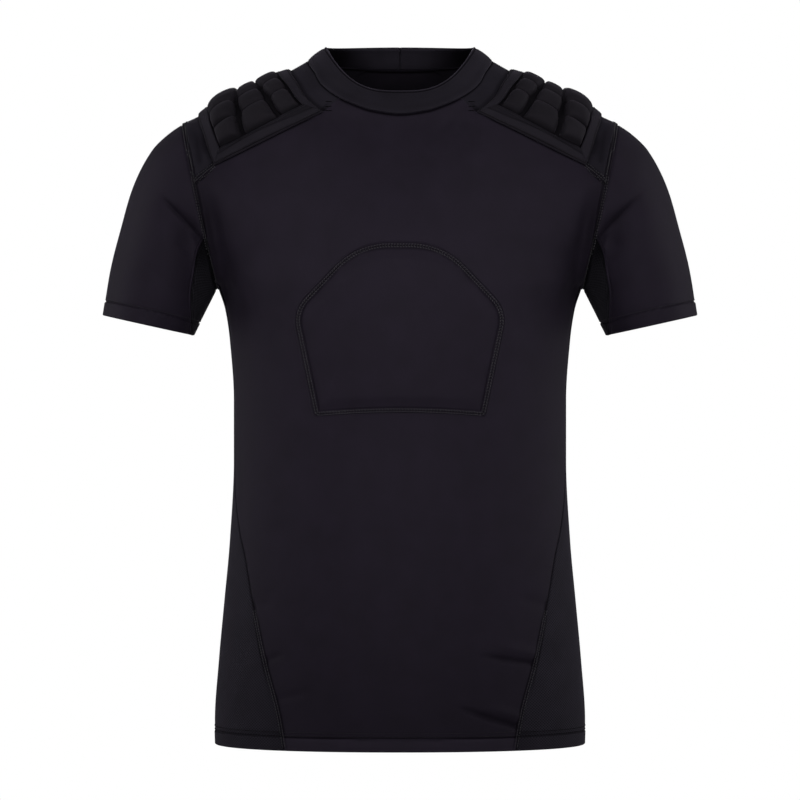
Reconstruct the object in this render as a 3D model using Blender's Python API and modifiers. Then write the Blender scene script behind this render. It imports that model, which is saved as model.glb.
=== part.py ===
"""Short-sleeved protective vest with padded shoulders, filled out as worn, with nobody inside it.

Each piece that a maker cuts and sews is one object: a grid that is laid on the garment's surface
and given its thickness by a Solidify modifier. Metres, +Z up. The front faces -Y and the wearer's
left side is at +X. The origin lies midway between the shoulders, at the height where they hold it.
"""

import bisect
import math
from collections import namedtuple

import bmesh
import bpy
from mathutils import Vector

# Cloth, seams and turned hems
JERSEY = 0.0013
AIR_MESH = 0.0012
BAND_CLOTH = 0.0020
STRIP_CLOTH = 0.0013
SEAM_GAP = 0.0003
SIDE_SEAM_GAP = 0.0005
GUSSET_SEAM_GAP = 0.0009
YOKE_SEAM_GAP = 0.0008
STRIP_GAP = 0.0006
BAND_DRAWN_UP = 0.0004
LYING_GAP = 0.0003
CHEST_PAD_GAP = 0.0005
HEM_DEPTH = 0.0150
CUFF_HEM_DEPTH = 0.0140
HEM_LAYERS = 2.0

# Heights and corners of the cut, seen from the front
Corner = namedtuple("Corner", "x z")
HEM_Z = -0.647
ARMPIT = Corner(0.182, -0.193)
SHOULDER_TIP = Corner(0.215, -0.029)
NECK_POINT = Corner(0.0897, 0.034)
NECK_BACK_Z = 0.0300
YOKE_AT_ARMHOLE_Z = -0.0913
SIDE_SEAM_TOP_Z = -0.1865
ARMHOLE_HALF_DEPTH = 0.063
FLATNESS = 2.2

# Half the garment's width below the armpits, and along the shoulder's slope
Width = namedtuple("Width", "z half_width")
SIDES = [
    Width(-0.647, 0.1845),
    Width(-0.626, 0.1850),
    Width(-0.566, 0.1810),
    Width(-0.506, 0.1755),
    Width(-0.446, 0.1700),
    Width(-0.366, 0.1660),
    Width(-0.306, 0.1660),
    Width(-0.246, 0.1700),
    Width(-0.216, 0.1745),
    Width(-0.193, 0.1820),
]
SHOULDER_SLOPE = [
    Width(-0.0290, 0.2150),
    Width(-0.0225, 0.2010),
    Width(0.0225, 0.1100),
    Width(0.0340, 0.0897),
    Width(0.0440, 0.0720),
]

# How far the front and the back stand off the middle plane, how round the sides are, and how
# far the armhole's edge shapes the cloth beside it (a high figure stays near the edge)
Depth = namedtuple("Depth", "z front back roundness reach")
DEPTHS = [
    Depth(-0.647, 0.112, 0.110, 2.3, 16),
    Depth(-0.566, 0.110, 0.107, 2.3, 16),
    Depth(-0.506, 0.108, 0.102, 2.3, 16),
    Depth(-0.446, 0.107, 0.096, 2.3, 16),
    Depth(-0.366, 0.108, 0.093, 2.3, 16),
    Depth(-0.306, 0.112, 0.098, 2.3, 16),
    Depth(-0.246, 0.117, 0.107, 2.3, 16),
    Depth(-0.193, 0.119, 0.113, 2.2, 16),
    Depth(-0.150, 0.115, 0.115, 1.6, 7),
    Depth(-0.110, 0.106, 0.112, 1.35, 5),
    Depth(-0.070, 0.091, 0.103, 1.45, 7),
    Depth(-0.029, 0.070, 0.084, 2.0, 16),
    Depth(0.0000, 0.063, 0.071, 2.0, 16),
    Depth(0.0340, 0.055, 0.058, 2.0, 16),
    Depth(0.0440, 0.053, 0.054, 2.0, 16),
]

# The front neckline's height at shares of the body's half width there
Neckline = namedtuple("Neckline", "share z")
NECKLINE = [
    Neckline(0.000, -0.0258),
    Neckline(0.135, -0.0226),
    Neckline(0.221, -0.0180),
    Neckline(0.324, -0.0110),
    Neckline(0.540, 0.0056),
    Neckline(0.689, 0.0169),
    Neckline(1.000, 0.0340),
]

# Half the side panel's depth, front to back, down the side
SideSeam = namedtuple("SideSeam", "z depth")
SIDE_SEAM = [
    SideSeam(-0.6470, 0.0914),
    SideSeam(-0.6140, 0.0874),
    SideSeam(-0.5740, 0.0800),
    SideSeam(-0.5130, 0.0686),
    SideSeam(-0.4590, 0.0530),
    SideSeam(-0.4350, 0.0440),
    SideSeam(-0.3760, 0.0215),
    SideSeam(-0.3000, 0.0170),
    SideSeam(-0.1865, 0.0240),
]

# The yoke's seams and the shoulder line, at the shares of its length where a pad's sides cross them
YokeStop = namedtuple("YokeStop", "share front_x front_z ridge_x ridge_z back_x back_z")
YOKE_STOPS = [
    YokeStop(0.00, 0.0575, -0.0110, 0.0897, 0.0340, 0.0340, 0.0310),
    YokeStop(0.11, 0.0755, -0.0226, 0.1100, 0.0225, 0.0740, -0.0040),
    YokeStop(0.86, 0.1835, -0.0750, 0.2010, -0.0225, 0.1840, -0.0706),
    YokeStop(1.00, 0.2025, -0.0913, 0.2150, -0.0290, 0.2025, -0.0913),
]

# The sleeve's upper outline from the armhole to the cuff, seen from the front, and its half depth
SleeveTop = namedtuple("SleeveTop", "share x z half_depth")
SLEEVE_TOP = [
    SleeveTop(0.0, 0.2150, -0.0290, 0.0630),
    SleeveTop(0.1, 0.2310, -0.0400, 0.0630),
    SleeveTop(0.2, 0.2475, -0.0563, 0.0625),
    SleeveTop(0.4, 0.2670, -0.0938, 0.0615),
    SleeveTop(0.6, 0.2790, -0.1348, 0.0605),
    SleeveTop(0.8, 0.2894, -0.1760, 0.0595),
    SleeveTop(1.0, 0.2968, -0.2215, 0.0580),
]
CUFF_INNER = Corner(0.2065, -0.2415)

# Half the angle that the underarm gusset takes up round the sleeve
GussetWidth = namedtuple("GussetWidth", "share half_angle")
GUSSET = [
    GussetWidth(0.000, math.radians(66)),
    GussetWidth(0.125, math.radians(63)),
    GussetWidth(0.300, math.radians(54)),
    GussetWidth(0.500, math.radians(47)),
    GussetWidth(0.820, math.radians(28)),
    GussetWidth(1.000, math.radians(20)),
]

# The largest folds, as troughs seen from the front: the sleeve's crease runs into the armpit,
# and a soft hollow follows the armhole down the chest
Fold = namedtuple("Fold", "start_x start_z end_x end_z half_width depth")
SLEEVE_FOLDS = [
    Fold(0.240, -0.105, 0.203, -0.142, 0.012, 0.0060),
]
CHEST_FOLDS = [
    Fold(0.188, -0.085, 0.176, -0.215, 0.016, 0.0035),
]

# Neckband: its upper edge, as half widths front to back and heights
BAND_TOP_X = 0.0725
BAND_TOP_FRONT_Y = 0.056
BAND_TOP_BACK_Y = 0.050
BAND_TOP_FRONT_Z = -0.0007
BAND_TOP_SIDE_Z = 0.0453
BAND_TOP_BACK_Z = 0.0514
BAND_DIP = 3.0
BAND_BULGE = 0.0018

# Chest pad: half its width at heights, and how far its lower edge bows
ChestRow = namedtuple("ChestRow", "z half_width")
CHEST_PAD = [
    ChestRow(-0.3195, 0.0808),
    ChestRow(-0.2270, 0.0988),
    ChestRow(-0.2165, 0.0965),
    ChestRow(-0.1690, 0.0515),
    ChestRow(-0.1600, 0.0400),
    ChestRow(-0.1560, 0.0250),
]
CHEST_PAD_BOW = 0.0036
CHEST_PAD_THICKNESS = 0.0030
CHEST_PAD_EDGE = 0.0012
CHEST_PAD_SLOPE = 0.14

# Shoulder pads: shares of the pad's own width and length, and heights above the yoke
PAD_FRONT_SHARE = 0.006
STRIP_SHARE_ALONG = 0.0445
STRIP_OVERHANG = 0.016
PAD_EDGE = 0.0008
PAD_STEP = 0.0036
PAD_GROOVE = 0.0042
BLOCK_TOPS = [0.0088, 0.0092, 0.0124]
BLOCK_LENGTHS = [0.143, 0.137, 0.440, 0.137, 0.143]
BLOCK_BEVEL = 0.25
ROW_CREASE_HEIGHT = 0.45
RIDGE_LINES = [0.45, 0.50, 0.55]

# Lines along a pad, from its neck side over its window and grooves to its arm side, as shares of the
# yoke's length at the pad's ends and on the shoulder's ridge
PadLine = namedtuple("PadLine", "end ridge")
PAD_LINES = [
    PadLine(0.110, 0.105),
    PadLine(0.172, 0.234),
    PadLine(0.330, 0.393),
    PadLine(0.605, 0.514),
    PadLine(0.785, 0.775),
    PadLine(0.860, 0.860),
]

# Numbers of grid steps
TORSO_ROWS = {"hem": 1, "body": 11, "chest": 7}
NECK_COLUMNS = 4
SIDE_COLUMNS = 8
SLEEVE_ROUND = 26
SLEEVE_ROWS = 9
GUSSET_ROUND = 10
BAND_ROWS = 3
CHEST_PAD_COLUMNS = 12

FRONT, BACK = -1, 1
LEFT, RIGHT = 1, -1
SIDE_NAMES = {LEFT: "left", RIGHT: "right"}

# Colours in linear RGB, and roughness
Finish = namedtuple("Finish", "red green blue roughness")
FINISHES = {
    "jersey": Finish(0.016, 0.014, 0.019, 0.62),
    "air_mesh": Finish(0.014, 0.013, 0.016, 0.75),
    "pad_cover": Finish(0.013, 0.012, 0.014, 0.70),
    "neckband": Finish(0.015, 0.014, 0.018, 0.60),
}


def blend(a, b, share):
    return a + (b - a) * share


def smooth_step(share):
    share = min(max(share, 0.0), 1.0)
    return share * share * (3 - 2 * share)


def even_steps(low, high, count):
    """The stops after low, up to and with high, in equal steps."""
    return [blend(low, high, (i + 1) / count) for i in range(count)]


def smooth_curve(rows, column):
    """A function of the table's first column through one of its others, with no overshoot."""
    knots = [row[0] for row in rows]
    values = [getattr(row, column) for row in rows]
    steps = [b - a for a, b in zip(knots, knots[1:])]
    slopes = [(b - a) / step for a, b, step in zip(values, values[1:], steps)]
    tangents = [slopes[0]]
    for before, after in zip(slopes, slopes[1:]):
        tangents.append(0.0 if before * after <= 0 else 2 * before * after / (before + after))
    tangents.append(slopes[-1])

    def at(key):
        i = min(max(bisect.bisect_right(knots, key) - 1, 0), len(steps) - 1)
        t = min(max((key - knots[i]) / steps[i], 0.0), 1.0)
        rise = t * t * (3 - 2 * t)
        start_pull = t * (1 - t) ** 2 * steps[i] * tangents[i]
        end_pull = t * t * (t - 1) * steps[i] * tangents[i + 1]
        return blend(values[i], values[i + 1], rise) + start_pull + end_pull

    return at


def straight_curve(rows, column):
    """A function of the table's first column through one of its others, in straight runs."""
    knots = [row[0] for row in rows]
    values = [getattr(row, column) for row in rows]

    def at(key):
        i = min(max(bisect.bisect_right(knots, key) - 1, 0), len(knots) - 2)
        return blend(values[i], values[i + 1], (key - knots[i]) / (knots[i + 1] - knots[i]))

    return at


side_width = smooth_curve(SIDES, "half_width")
slope_width = smooth_curve(SHOULDER_SLOPE, "half_width")
depth_of = {FRONT: smooth_curve(DEPTHS, "front"), BACK: smooth_curve(DEPTHS, "back")}
roundness = smooth_curve(DEPTHS, "roundness")
edge_reach = smooth_curve(DEPTHS, "reach")
front_neckline = smooth_curve(NECKLINE, "z")
side_seam_depth = smooth_curve(SIDE_SEAM, "depth")
yoke_seam = {
    FRONT: (straight_curve(YOKE_STOPS, "front_x"), straight_curve(YOKE_STOPS, "front_z")),
    BACK: (straight_curve(YOKE_STOPS, "back_x"), straight_curve(YOKE_STOPS, "back_z")),
}
ridge_z = straight_curve(YOKE_STOPS, "ridge_z")
sleeve_top_x = smooth_curve(SLEEVE_TOP, "x")
sleeve_top_z = smooth_curve(SLEEVE_TOP, "z")
sleeve_half_depth = smooth_curve(SLEEVE_TOP, "half_depth")
gusset_half_angle = smooth_curve(GUSSET, "half_angle")
chest_pad_half_width = smooth_curve(CHEST_PAD, "half_width")


def fold_depth(folds, x, z):
    """How far the cloth sinks at a place seen from the front, fading out along and across a fold."""
    sunk = 0.0
    for fold in folds:
        run = (fold.end_x - fold.start_x, fold.end_z - fold.start_z)
        length = math.hypot(*run)
        along = ((abs(x) - fold.start_x) * run[0] + (z - fold.start_z) * run[1]) / length
        across = ((abs(x) - fold.start_x) * run[1] - (z - fold.start_z) * run[0]) / length
        past_end = max(-along, along - length, 0.0)
        distance = math.hypot(across, past_end) / fold.half_width
        sunk += fold.depth * math.exp(-distance * distance) * smooth_step(2 * along / length)
    return sunk


def half_width(z):
    """Half the garment's width at a height: its side, the armhole's line or the shoulder's slope."""
    if z < ARMPIT.z:
        return side_width(z)
    if z > SHOULDER_TIP.z:
        return slope_width(z)
    return blend(ARMPIT.x, SHOULDER_TIP.x, (z - ARMPIT.z) / (SHOULDER_TIP.z - ARMPIT.z))


def armhole_edge(z):
    """How far the armhole's edge stands in front of and behind the middle plane."""
    middle = (ARMPIT.z + SHOULDER_TIP.z) / 2
    reach = (SHOULDER_TIP.z - ARMPIT.z) / 2
    return ARMHOLE_HALF_DEPTH * math.sqrt(max(0.0, 1 - ((z - middle) / reach) ** 2))


def torso_point(x, z, face):
    """A point of the body's front or back, from where it is seen from the front."""
    share = min(abs(x) / half_width(z), 1.0)
    crown = depth_of[face](z) * (1 - share**FLATNESS) ** (1 / roundness(z))
    edge = armhole_edge(z) * share ** edge_reach(z)
    sunk = fold_depth(CHEST_FOLDS, x, z) * (1 - share**16)
    return Vector((x, face * (crown + edge - sunk), z))


def side_point(y, z):
    """A point of the body's left side, from its depth and height."""
    face = FRONT if y < 0 else BACK
    rise = max(abs(y) - armhole_edge(z), 0.0) / depth_of[face](z)
    return Vector((half_width(z) * (1 - rise ** roundness(z)) ** (1 / FLATNESS), y, z))


def side_seam_point(z, face):
    return side_point(face * side_seam_depth(z), z)


def neckline_z(share, face):
    """The neckline's height at a share of the body's half width there, from its middle."""
    if face == FRONT:
        return front_neckline(share)
    return blend(NECK_BACK_Z, NECK_POINT.z, share**2)


def neckline_place(share, face):
    z = neckline_z(share, face)
    return share * half_width(z), z


def width_share(x, z):
    return x / half_width(z)


def solve(function, target, low, high):
    """Where a rising function meets the target, by halving."""
    for _ in range(50):
        middle = (low + high) / 2
        low, high = (middle, high) if function(middle) < target else (low, middle)
    return (low + high) / 2


def neck_corner_share(face):
    """The share of the half width at which the yoke's seam meets the neckline."""
    return solve(lambda share: neckline_place(share, face)[0], yoke_seam[face][0](0.0), 0.0, 1.0)


NECK_CORNER = {face: neck_corner_share(face) for face in (FRONT, BACK)}


def yoke_seam_place(share, face):
    """A place on the yoke's seam, seen from the front. Its ends lie on the neckline and the armhole."""
    if share <= 0.0:
        return neckline_place(NECK_CORNER[face], face)
    if share >= 1.0:
        return half_width(YOKE_AT_ARMHOLE_Z), YOKE_AT_ARMHOLE_Z
    x_at, z_at = yoke_seam[face]
    return x_at(share), z_at(share)


def panel_top_z(share, face):
    """The upper edge of the front or back panel: the neckline, and then the yoke's seam."""
    if share <= NECK_CORNER[face]:
        return neckline_z(share, face)
    at = solve(lambda s: width_share(*yoke_seam_place(s, face)), share, 0.0, 1.0)
    return yoke_seam_place(at, face)[1]


def torso_panel_point(share, rise, face):
    """A point of the front or back panel: share runs across it from -1 to 1, rise up it from 0 to 1."""
    z = blend(HEM_Z, panel_top_z(abs(share), face), rise)
    if z >= SIDE_SEAM_TOP_Z:
        return torso_point(share * half_width(z), z, face)
    seam = side_seam_point(z, face)
    if abs(share) == 1:
        return Vector((share * seam.x, seam.y, z))
    return torso_point(share * seam.x, z, face)


def side_panel_point(across, rise):
    """A point of the left side panel: across runs from -1, its front seam, to 1, its back seam."""
    middle = (ARMPIT.z + SHOULDER_TIP.z) / 2
    reach = (SHOULDER_TIP.z - ARMPIT.z) / 2
    opening = abs(across) * side_seam_depth(SIDE_SEAM_TOP_Z) / ARMHOLE_HALF_DEPTH
    top = middle - reach * math.sqrt(1 - opening**2)
    z = blend(HEM_Z, top, rise)
    return side_point(across * side_seam_depth(z), z)


def yoke_place(share, rise, face):
    """Where half the yoke lies, seen from the front, filled in between its four edges."""
    seam = Vector(yoke_seam_place(share, face))
    slope_z = ridge_z(share)
    ridge = Vector((half_width(slope_z), slope_z))
    neck = Vector(neckline_place(blend(NECK_CORNER[face], 1.0, rise), face))
    arm_z = blend(YOKE_AT_ARMHOLE_Z, SHOULDER_TIP.z, rise)
    arm = Vector((half_width(arm_z), arm_z))
    lower = blend(Vector(yoke_seam_place(0.0, face)), Vector(yoke_seam_place(1.0, face)), share)
    upper = blend(Vector(NECK_POINT), Vector(SHOULDER_TIP), share)
    return blend(seam, ridge, rise) + blend(neck, arm, share) - blend(lower, upper, rise)


def yoke_point(share, round_share):
    """A point of the left yoke: share runs from neck to armhole, round_share from front to back."""
    face = FRONT if round_share < 0.5 else BACK
    from_ridge = abs(2 * round_share - 1)
    x, z = yoke_place(share, 1 - from_ridge**2, face)
    return torso_point(x, z, face)


def sleeve_point(share, angle):
    """A point of the left sleeve: share runs from armhole to cuff, the angle from the top, backwards."""
    top = Vector((sleeve_top_x(share), 0, sleeve_top_z(share)))
    inner = blend(Vector((ARMPIT.x, 0, ARMPIT.z)), Vector((CUFF_INNER.x, 0, CUFF_INNER.z)), share)
    reach = (top - inner) / 2
    depth = sleeve_half_depth(share)
    place = (top + inner) / 2 + reach * math.cos(angle)
    sunk = fold_depth(SLEEVE_FOLDS, place.x, place.z) * smooth_step(6 * share)
    place.y = (depth - sunk) * math.sin(angle)
    return place


def sleeve_piece_point(across, rise):
    """The sleeve without its gusset: across runs from the gusset's front seam to its back seam."""
    share = 1 - rise
    edge = math.pi - gusset_half_angle(share)
    return sleeve_point(share, blend(-edge, edge, across))


def gusset_point(across, rise):
    """The underarm gusset: across runs from its back seam to its front seam."""
    share = 1 - rise
    half = gusset_half_angle(share)
    return sleeve_point(share, blend(math.pi - half, math.pi + half, across))


def band_top_point(angle):
    """A point of the neckband's upper edge at an angle round it."""
    back = math.sin(angle) > 0
    if back:
        z = blend(BAND_TOP_SIDE_Z, BAND_TOP_BACK_Z, math.sin(angle) ** 2)
    else:
        z = blend(BAND_TOP_FRONT_Z, BAND_TOP_SIDE_Z, abs(math.cos(angle)) ** BAND_DIP)
    y = (BAND_TOP_BACK_Y if back else BAND_TOP_FRONT_Y) * math.sin(angle)
    return Vector((BAND_TOP_X * math.cos(angle), y, z))


def travelled(points):
    """The distance along a run of points to each of them, as a share of the whole."""
    lengths = [0.0]
    for a, b in zip(points, points[1:]):
        lengths.append(lengths[-1] + (b - a).length)
    return [length / lengths[-1] for length in lengths]


def neckline_quarter(face):
    """The left half of the neckline at the front or back, through its neighbours' grid lines."""
    shares = [0.0] + even_steps(0.0, NECK_CORNER[face], NECK_COLUMNS)
    for at in [pad_place(0, along)[1] for along in pad_rows()]:
        if at < 0.5:
            shares.append(blend(NECK_CORNER[face], 1.0, 1 - (1 - 2 * at) ** 2))
    places = [neckline_place(share, face) for share in shares + [1.0]]
    return [torso_point(x, z, face) for x, z in places]


def band_top_quarter(face, shares):
    """The left half of the neckband's upper edge, at shares of its length from the middle."""
    fine = 400
    points = [band_top_point(face * math.pi / 2 * (1 - i / fine)) for i in range(fine + 1)]
    along = travelled(points)
    return [points[min(bisect.bisect_left(along, share), fine)] for share in shares]


def full_loop(front, back):
    """Left halves of a loop, run from the middle of the back round by the right and the front."""

    def mirrored(points):
        return [Vector((-p.x, p.y, p.z)) for p in points]

    return mirrored(back) + mirrored(front)[-2::-1] + front[1:] + back[-2::-1]


def chest_pad_point(across, rise):
    """A point under the chest pad: across runs from -1 to 1, rise up it from 0 to 1."""
    z = blend(CHEST_PAD[0].z, CHEST_PAD[-1].z, rise)
    x = across * chest_pad_half_width(z)
    bow = CHEST_PAD_BOW * (1 - across**2) * (1 - rise)
    return torso_point(x, z + bow, FRONT)


PAD_SHARES = [
    (line.end - PAD_LINES[0].end) / (PAD_LINES[-1].end - PAD_LINES[0].end) for line in PAD_LINES
]


def block_at(share, edges):
    """Which of a row of blocks a share of the pad lies in, from the blocks' edges."""
    return min(max(bisect.bisect_right(edges, share) - 1, 0), len(edges) - 2)


def pad_place(across, along):
    """A pad's own shares, neck to arm and front to back, as shares of the yoke."""
    i = block_at(across, PAD_SHARES)
    between = (across - PAD_SHARES[i]) / (PAD_SHARES[i + 1] - PAD_SHARES[i])
    to_ridge = 1 - abs(2 * along - 1)
    lines = [blend(line.end, line.ridge, to_ridge) for line in PAD_LINES[i : i + 2]]
    return blend(*lines, between), blend(PAD_FRONT_SHARE, 1 - PAD_FRONT_SHARE, along)


def yoke_normal(share, round_share):
    """The yoke's outward direction."""
    d = 1e-3
    along = yoke_point(share + d, round_share) - yoke_point(share - d, round_share)
    across = yoke_point(share, round_share + d) - yoke_point(share, round_share - d)
    return along.cross(across).normalized()


def pad_base_point(across, along, height=LYING_GAP):
    """A point over the yoke under a pad, at a height above the yoke."""
    place = pad_place(across, along)
    return yoke_point(*place) + yoke_normal(*place) * height


def pad_rim_height(across, along):
    """The pad's height in its rim: it slopes up from its edge to the window between the strips."""
    sideways = min(across / PAD_SHARES[1], (1 - across) / (1 - PAD_SHARES[-2]))
    lengthways = min(along, 1 - along) / STRIP_SHARE_ALONG
    return blend(PAD_EDGE, PAD_STEP, max(0.0, min(sideways, lengthways, 1.0)))


def block_edges(shares, first, last):
    """The stops between blocks whose lengths are shares of the window from first to last."""
    edges = [first]
    for share in shares:
        edges.append(edges[-1] + share * (last - first))
    return edges


BLOCKS_ACROSS = PAD_SHARES[1:-1]
BLOCKS_ALONG = block_edges(BLOCK_LENGTHS, STRIP_SHARE_ALONG, 1 - STRIP_SHARE_ALONG)


def pillow(share, edges):
    """From 0 in the groove at a block's edge to 1 on its flat top."""
    i = block_at(share, edges)
    inset = min(share - edges[i], edges[i + 1] - share) / (edges[i + 1] - edges[i])
    return min(inset / BLOCK_BEVEL, 1.0)


def pad_height(across, along):
    """The pad's height: blocks in the window, with grooves between them, and a sloping rim round it."""
    in_window = (
        BLOCKS_ACROSS[0] < across < BLOCKS_ACROSS[-1] and BLOCKS_ALONG[0] < along < BLOCKS_ALONG[-1]
    )
    if not in_window:
        return pad_rim_height(across, along)
    row_rise = pillow(along, BLOCKS_ALONG)
    if BLOCKS_ALONG[1] / 2 < along < 1 - BLOCKS_ALONG[1] / 2:
        row_rise = blend(ROW_CREASE_HEIGHT, 1.0, row_rise)
    top = BLOCK_TOPS[block_at(across, BLOCKS_ACROSS)]
    return blend(PAD_GROOVE, top, pillow(across, BLOCKS_ACROSS) * row_rise)


def grid_stops(edges):
    """Grid lines for a row of blocks: the rim's stops, then each block's edges and flat top."""
    shares = (BLOCK_BEVEL, 1 - BLOCK_BEVEL, 1.0)
    block_lines = [blend(a, b, share) for a, b in zip(edges, edges[1:]) for share in shares]
    return [0.0, edges[0] / 2, edges[0]] + block_lines + [(1 + edges[-1]) / 2, 1.0]


def pad_rows():
    """A pad's grid lines from front to back, with more of them round the shoulder's ridge."""
    return sorted(grid_stops(BLOCKS_ALONG) + RIDGE_LINES)


def strip_point(across, along):
    """A point under the strips that lie on a pad's rim."""
    return pad_base_point(across, along, 2 * LYING_GAP + pad_rim_height(across, along))


def material(name):
    """One plain cloth finish, made once."""
    if name in bpy.data.materials:
        return bpy.data.materials[name]
    made = bpy.data.materials.new(name)
    made.use_nodes = True
    finish = FINISHES[name]
    shader = made.node_tree.nodes["Principled BSDF"]
    shader.inputs["Base Color"].default_value = (finish.red, finish.green, finish.blue, 1)
    shader.inputs["Roughness"].default_value = finish.roughness
    shader.inputs["Metallic"].default_value = 0.0
    return made


def draw_in(rows, trimmed, distance=SEAM_GAP / 2):
    """Pulls the trimmed edges of a grid of points in, by half a seam's gap unless told otherwise."""

    def pulled(edge, inner):
        return edge + (inner - edge).normalized() * distance

    if "bottom" in trimmed:
        rows[0] = [pulled(edge, inner) for edge, inner in zip(rows[0], rows[1])]
    if "top" in trimmed:
        rows[-1] = [pulled(edge, inner) for edge, inner in zip(rows[-1], rows[-2])]
    for row in rows:
        if "sides" in trimmed:
            row[0], row[-1] = pulled(row[0], row[1]), pulled(row[-1], row[-2])
    return rows


def cloth(name, finish, rows, thickness, outward=False, weights=None):
    """Lays a grid on rows of points, whose outer face is towards the viewer with the rows running
    left to right and bottom to top, and thickens it inwards, or outwards for what lies on a panel.
    Weights, a row for each row of points, scale the thickness."""
    across, up = len(rows[0]) - 1, len(rows) - 1
    grid = bmesh.new()
    bmesh.ops.create_grid(grid, x_segments=across, y_segments=up, size=1)
    grid.verts.ensure_lookup_table()
    for i, corner in enumerate(sorted(grid.verts, key=lambda v: (round(v.co.y, 5), v.co.x))):
        corner.co = rows[i // (across + 1)][i % (across + 1)]
        corner.index = i
    grid.verts.sort()
    mesh = bpy.data.meshes.new(name)
    grid.to_mesh(mesh)
    grid.free()
    mesh.materials.append(material(finish))
    mesh.shade_smooth()
    piece = bpy.data.objects.new(name, mesh)
    collection.objects.link(piece)
    shell = piece.modifiers.new("thickness", "SOLIDIFY")
    shell.thickness = thickness
    shell.offset = 1 if outward else -1
    if weights:
        group = piece.vertex_groups.new(name="thickness")
        for i, weight in enumerate(weight for row in weights for weight in row):
            group.add([i], weight, "REPLACE")
        shell.vertex_group = group.name
    return piece


def handed(rows, hand):
    """The rows of a left piece, or of the right one: mirrored, with their order turned round."""
    if hand == LEFT:
        return rows
    return [[Vector((-p.x, p.y, p.z)) for p in reversed(row)] for row in rows]


def hem_weights(rows, hem_rows, columns):
    """Full thickness where the hem is turned up, and a single layer above it."""
    return [[1.0 if i <= hem_rows else 1 / HEM_LAYERS] * columns for i in range(rows)]


def torso_rises():
    """Stops up the body's panels: the turned hem, the side seam, and then the armhole."""
    height = YOKE_AT_ARMHOLE_Z - HEM_Z
    hem, seam_top = HEM_DEPTH / height, (SIDE_SEAM_TOP_Z - HEM_Z) / height
    side = [0.0] + even_steps(0.0, hem, TORSO_ROWS["hem"])
    side += even_steps(hem, seam_top, TORSO_ROWS["body"])
    return side, even_steps(seam_top, 1.0, TORSO_ROWS["chest"])


def torso_shares(face):
    """Stops across half a body panel, with one at each corner of its upper edge."""
    corners = [width_share(*yoke_seam_place(row.share, face)) for row in YOKE_STOPS]
    half = even_steps(0.0, corners[0], NECK_COLUMNS) + [corners[1]]
    half += even_steps(corners[1], corners[2], 5) + even_steps(corners[2], 1.0, 3)
    return [-share for share in reversed(half)] + [0.0] + half


def make_torso_panel(name, face):
    shares = torso_shares(face)
    if face == BACK:
        shares = [-share for share in shares]
    side_rises, armhole_rises = torso_rises()
    rises = side_rises + armhole_rises
    rows = [[torso_panel_point(share, rise, face) for share in shares] for rise in rises]
    weights = hem_weights(len(rows), TORSO_ROWS["hem"], len(shares))
    rows = draw_in(draw_in(rows, ("top",)), ("sides",), SIDE_SEAM_GAP / 2)
    cloth(name, "jersey", rows, JERSEY * HEM_LAYERS, weights=weights)


def make_side_panel(hand):
    acrosses = [-1.0] + even_steps(-1.0, 1.0, SIDE_COLUMNS)
    side_rises, _ = torso_rises()
    rises = [rise / side_rises[-1] for rise in side_rises]
    rows = [[side_panel_point(across, rise) for across in acrosses] for rise in rises]
    weights = hem_weights(len(rows), TORSO_ROWS["hem"], len(acrosses))
    rows = draw_in(draw_in(rows, ("top",)), ("sides",), SIDE_SEAM_GAP / 2)
    name = f"side_panel_{SIDE_NAMES[hand]}"
    cloth(name, "air_mesh", handed(rows, hand), AIR_MESH * HEM_LAYERS, weights=weights)


def yoke_row(along, round_share):
    """Points across the yoke, on the grid lines of the pad that lies on it."""
    shares = [0.0] + [pad_place(across, along)[0] for across in grid_stops(BLOCKS_ACROSS)]
    shares += even_steps(shares[-1], 1.0, 2)
    return [yoke_point(share, round_share) for share in shares]


def make_yoke(hand):
    """The yoke, from its front seam over the pad's grid lines to its back seam."""
    rows = [yoke_row(along, pad_place(0, along)[1]) for along in pad_rows()]
    rows = [yoke_row(0.0, 0.0)] + rows + [yoke_row(1.0, 1.0)]
    rows = draw_in(draw_in(rows, ("bottom", "top"), YOKE_SEAM_GAP / 2), ("sides",))
    rows = handed(rows, hand)
    cloth(f"yoke_{SIDE_NAMES[hand]}", "jersey", rows, JERSEY)


def make_sleeve(hand):
    """The sleeve and the gusset under the arm, with their turned hems."""
    hem = CUFF_HEM_DEPTH / abs(SLEEVE_TOP[-1].z - SLEEVE_TOP[0].z)
    rises = [0.0, hem] + even_steps(hem, 1.0, SLEEVE_ROWS)
    pieces = [
        ("sleeve", sleeve_piece_point, SLEEVE_ROUND, "jersey", JERSEY),
        ("underarm_gusset", gusset_point, GUSSET_ROUND, "air_mesh", AIR_MESH),
    ]
    for kind, point_at, count, finish, thickness in pieces:
        acrosses = [0.0] + even_steps(0.0, 1.0, count)
        rows = [[point_at(across, rise) for across in acrosses] for rise in rises]
        weights = hem_weights(len(rows), 1, len(acrosses))
        rows = draw_in(draw_in(rows, ("top",)), ("sides",), GUSSET_SEAM_GAP / 2)
        name = f"{kind}_{SIDE_NAMES[hand]}"
        cloth(name, finish, handed(rows, hand), thickness * HEM_LAYERS, weights=weights)


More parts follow.
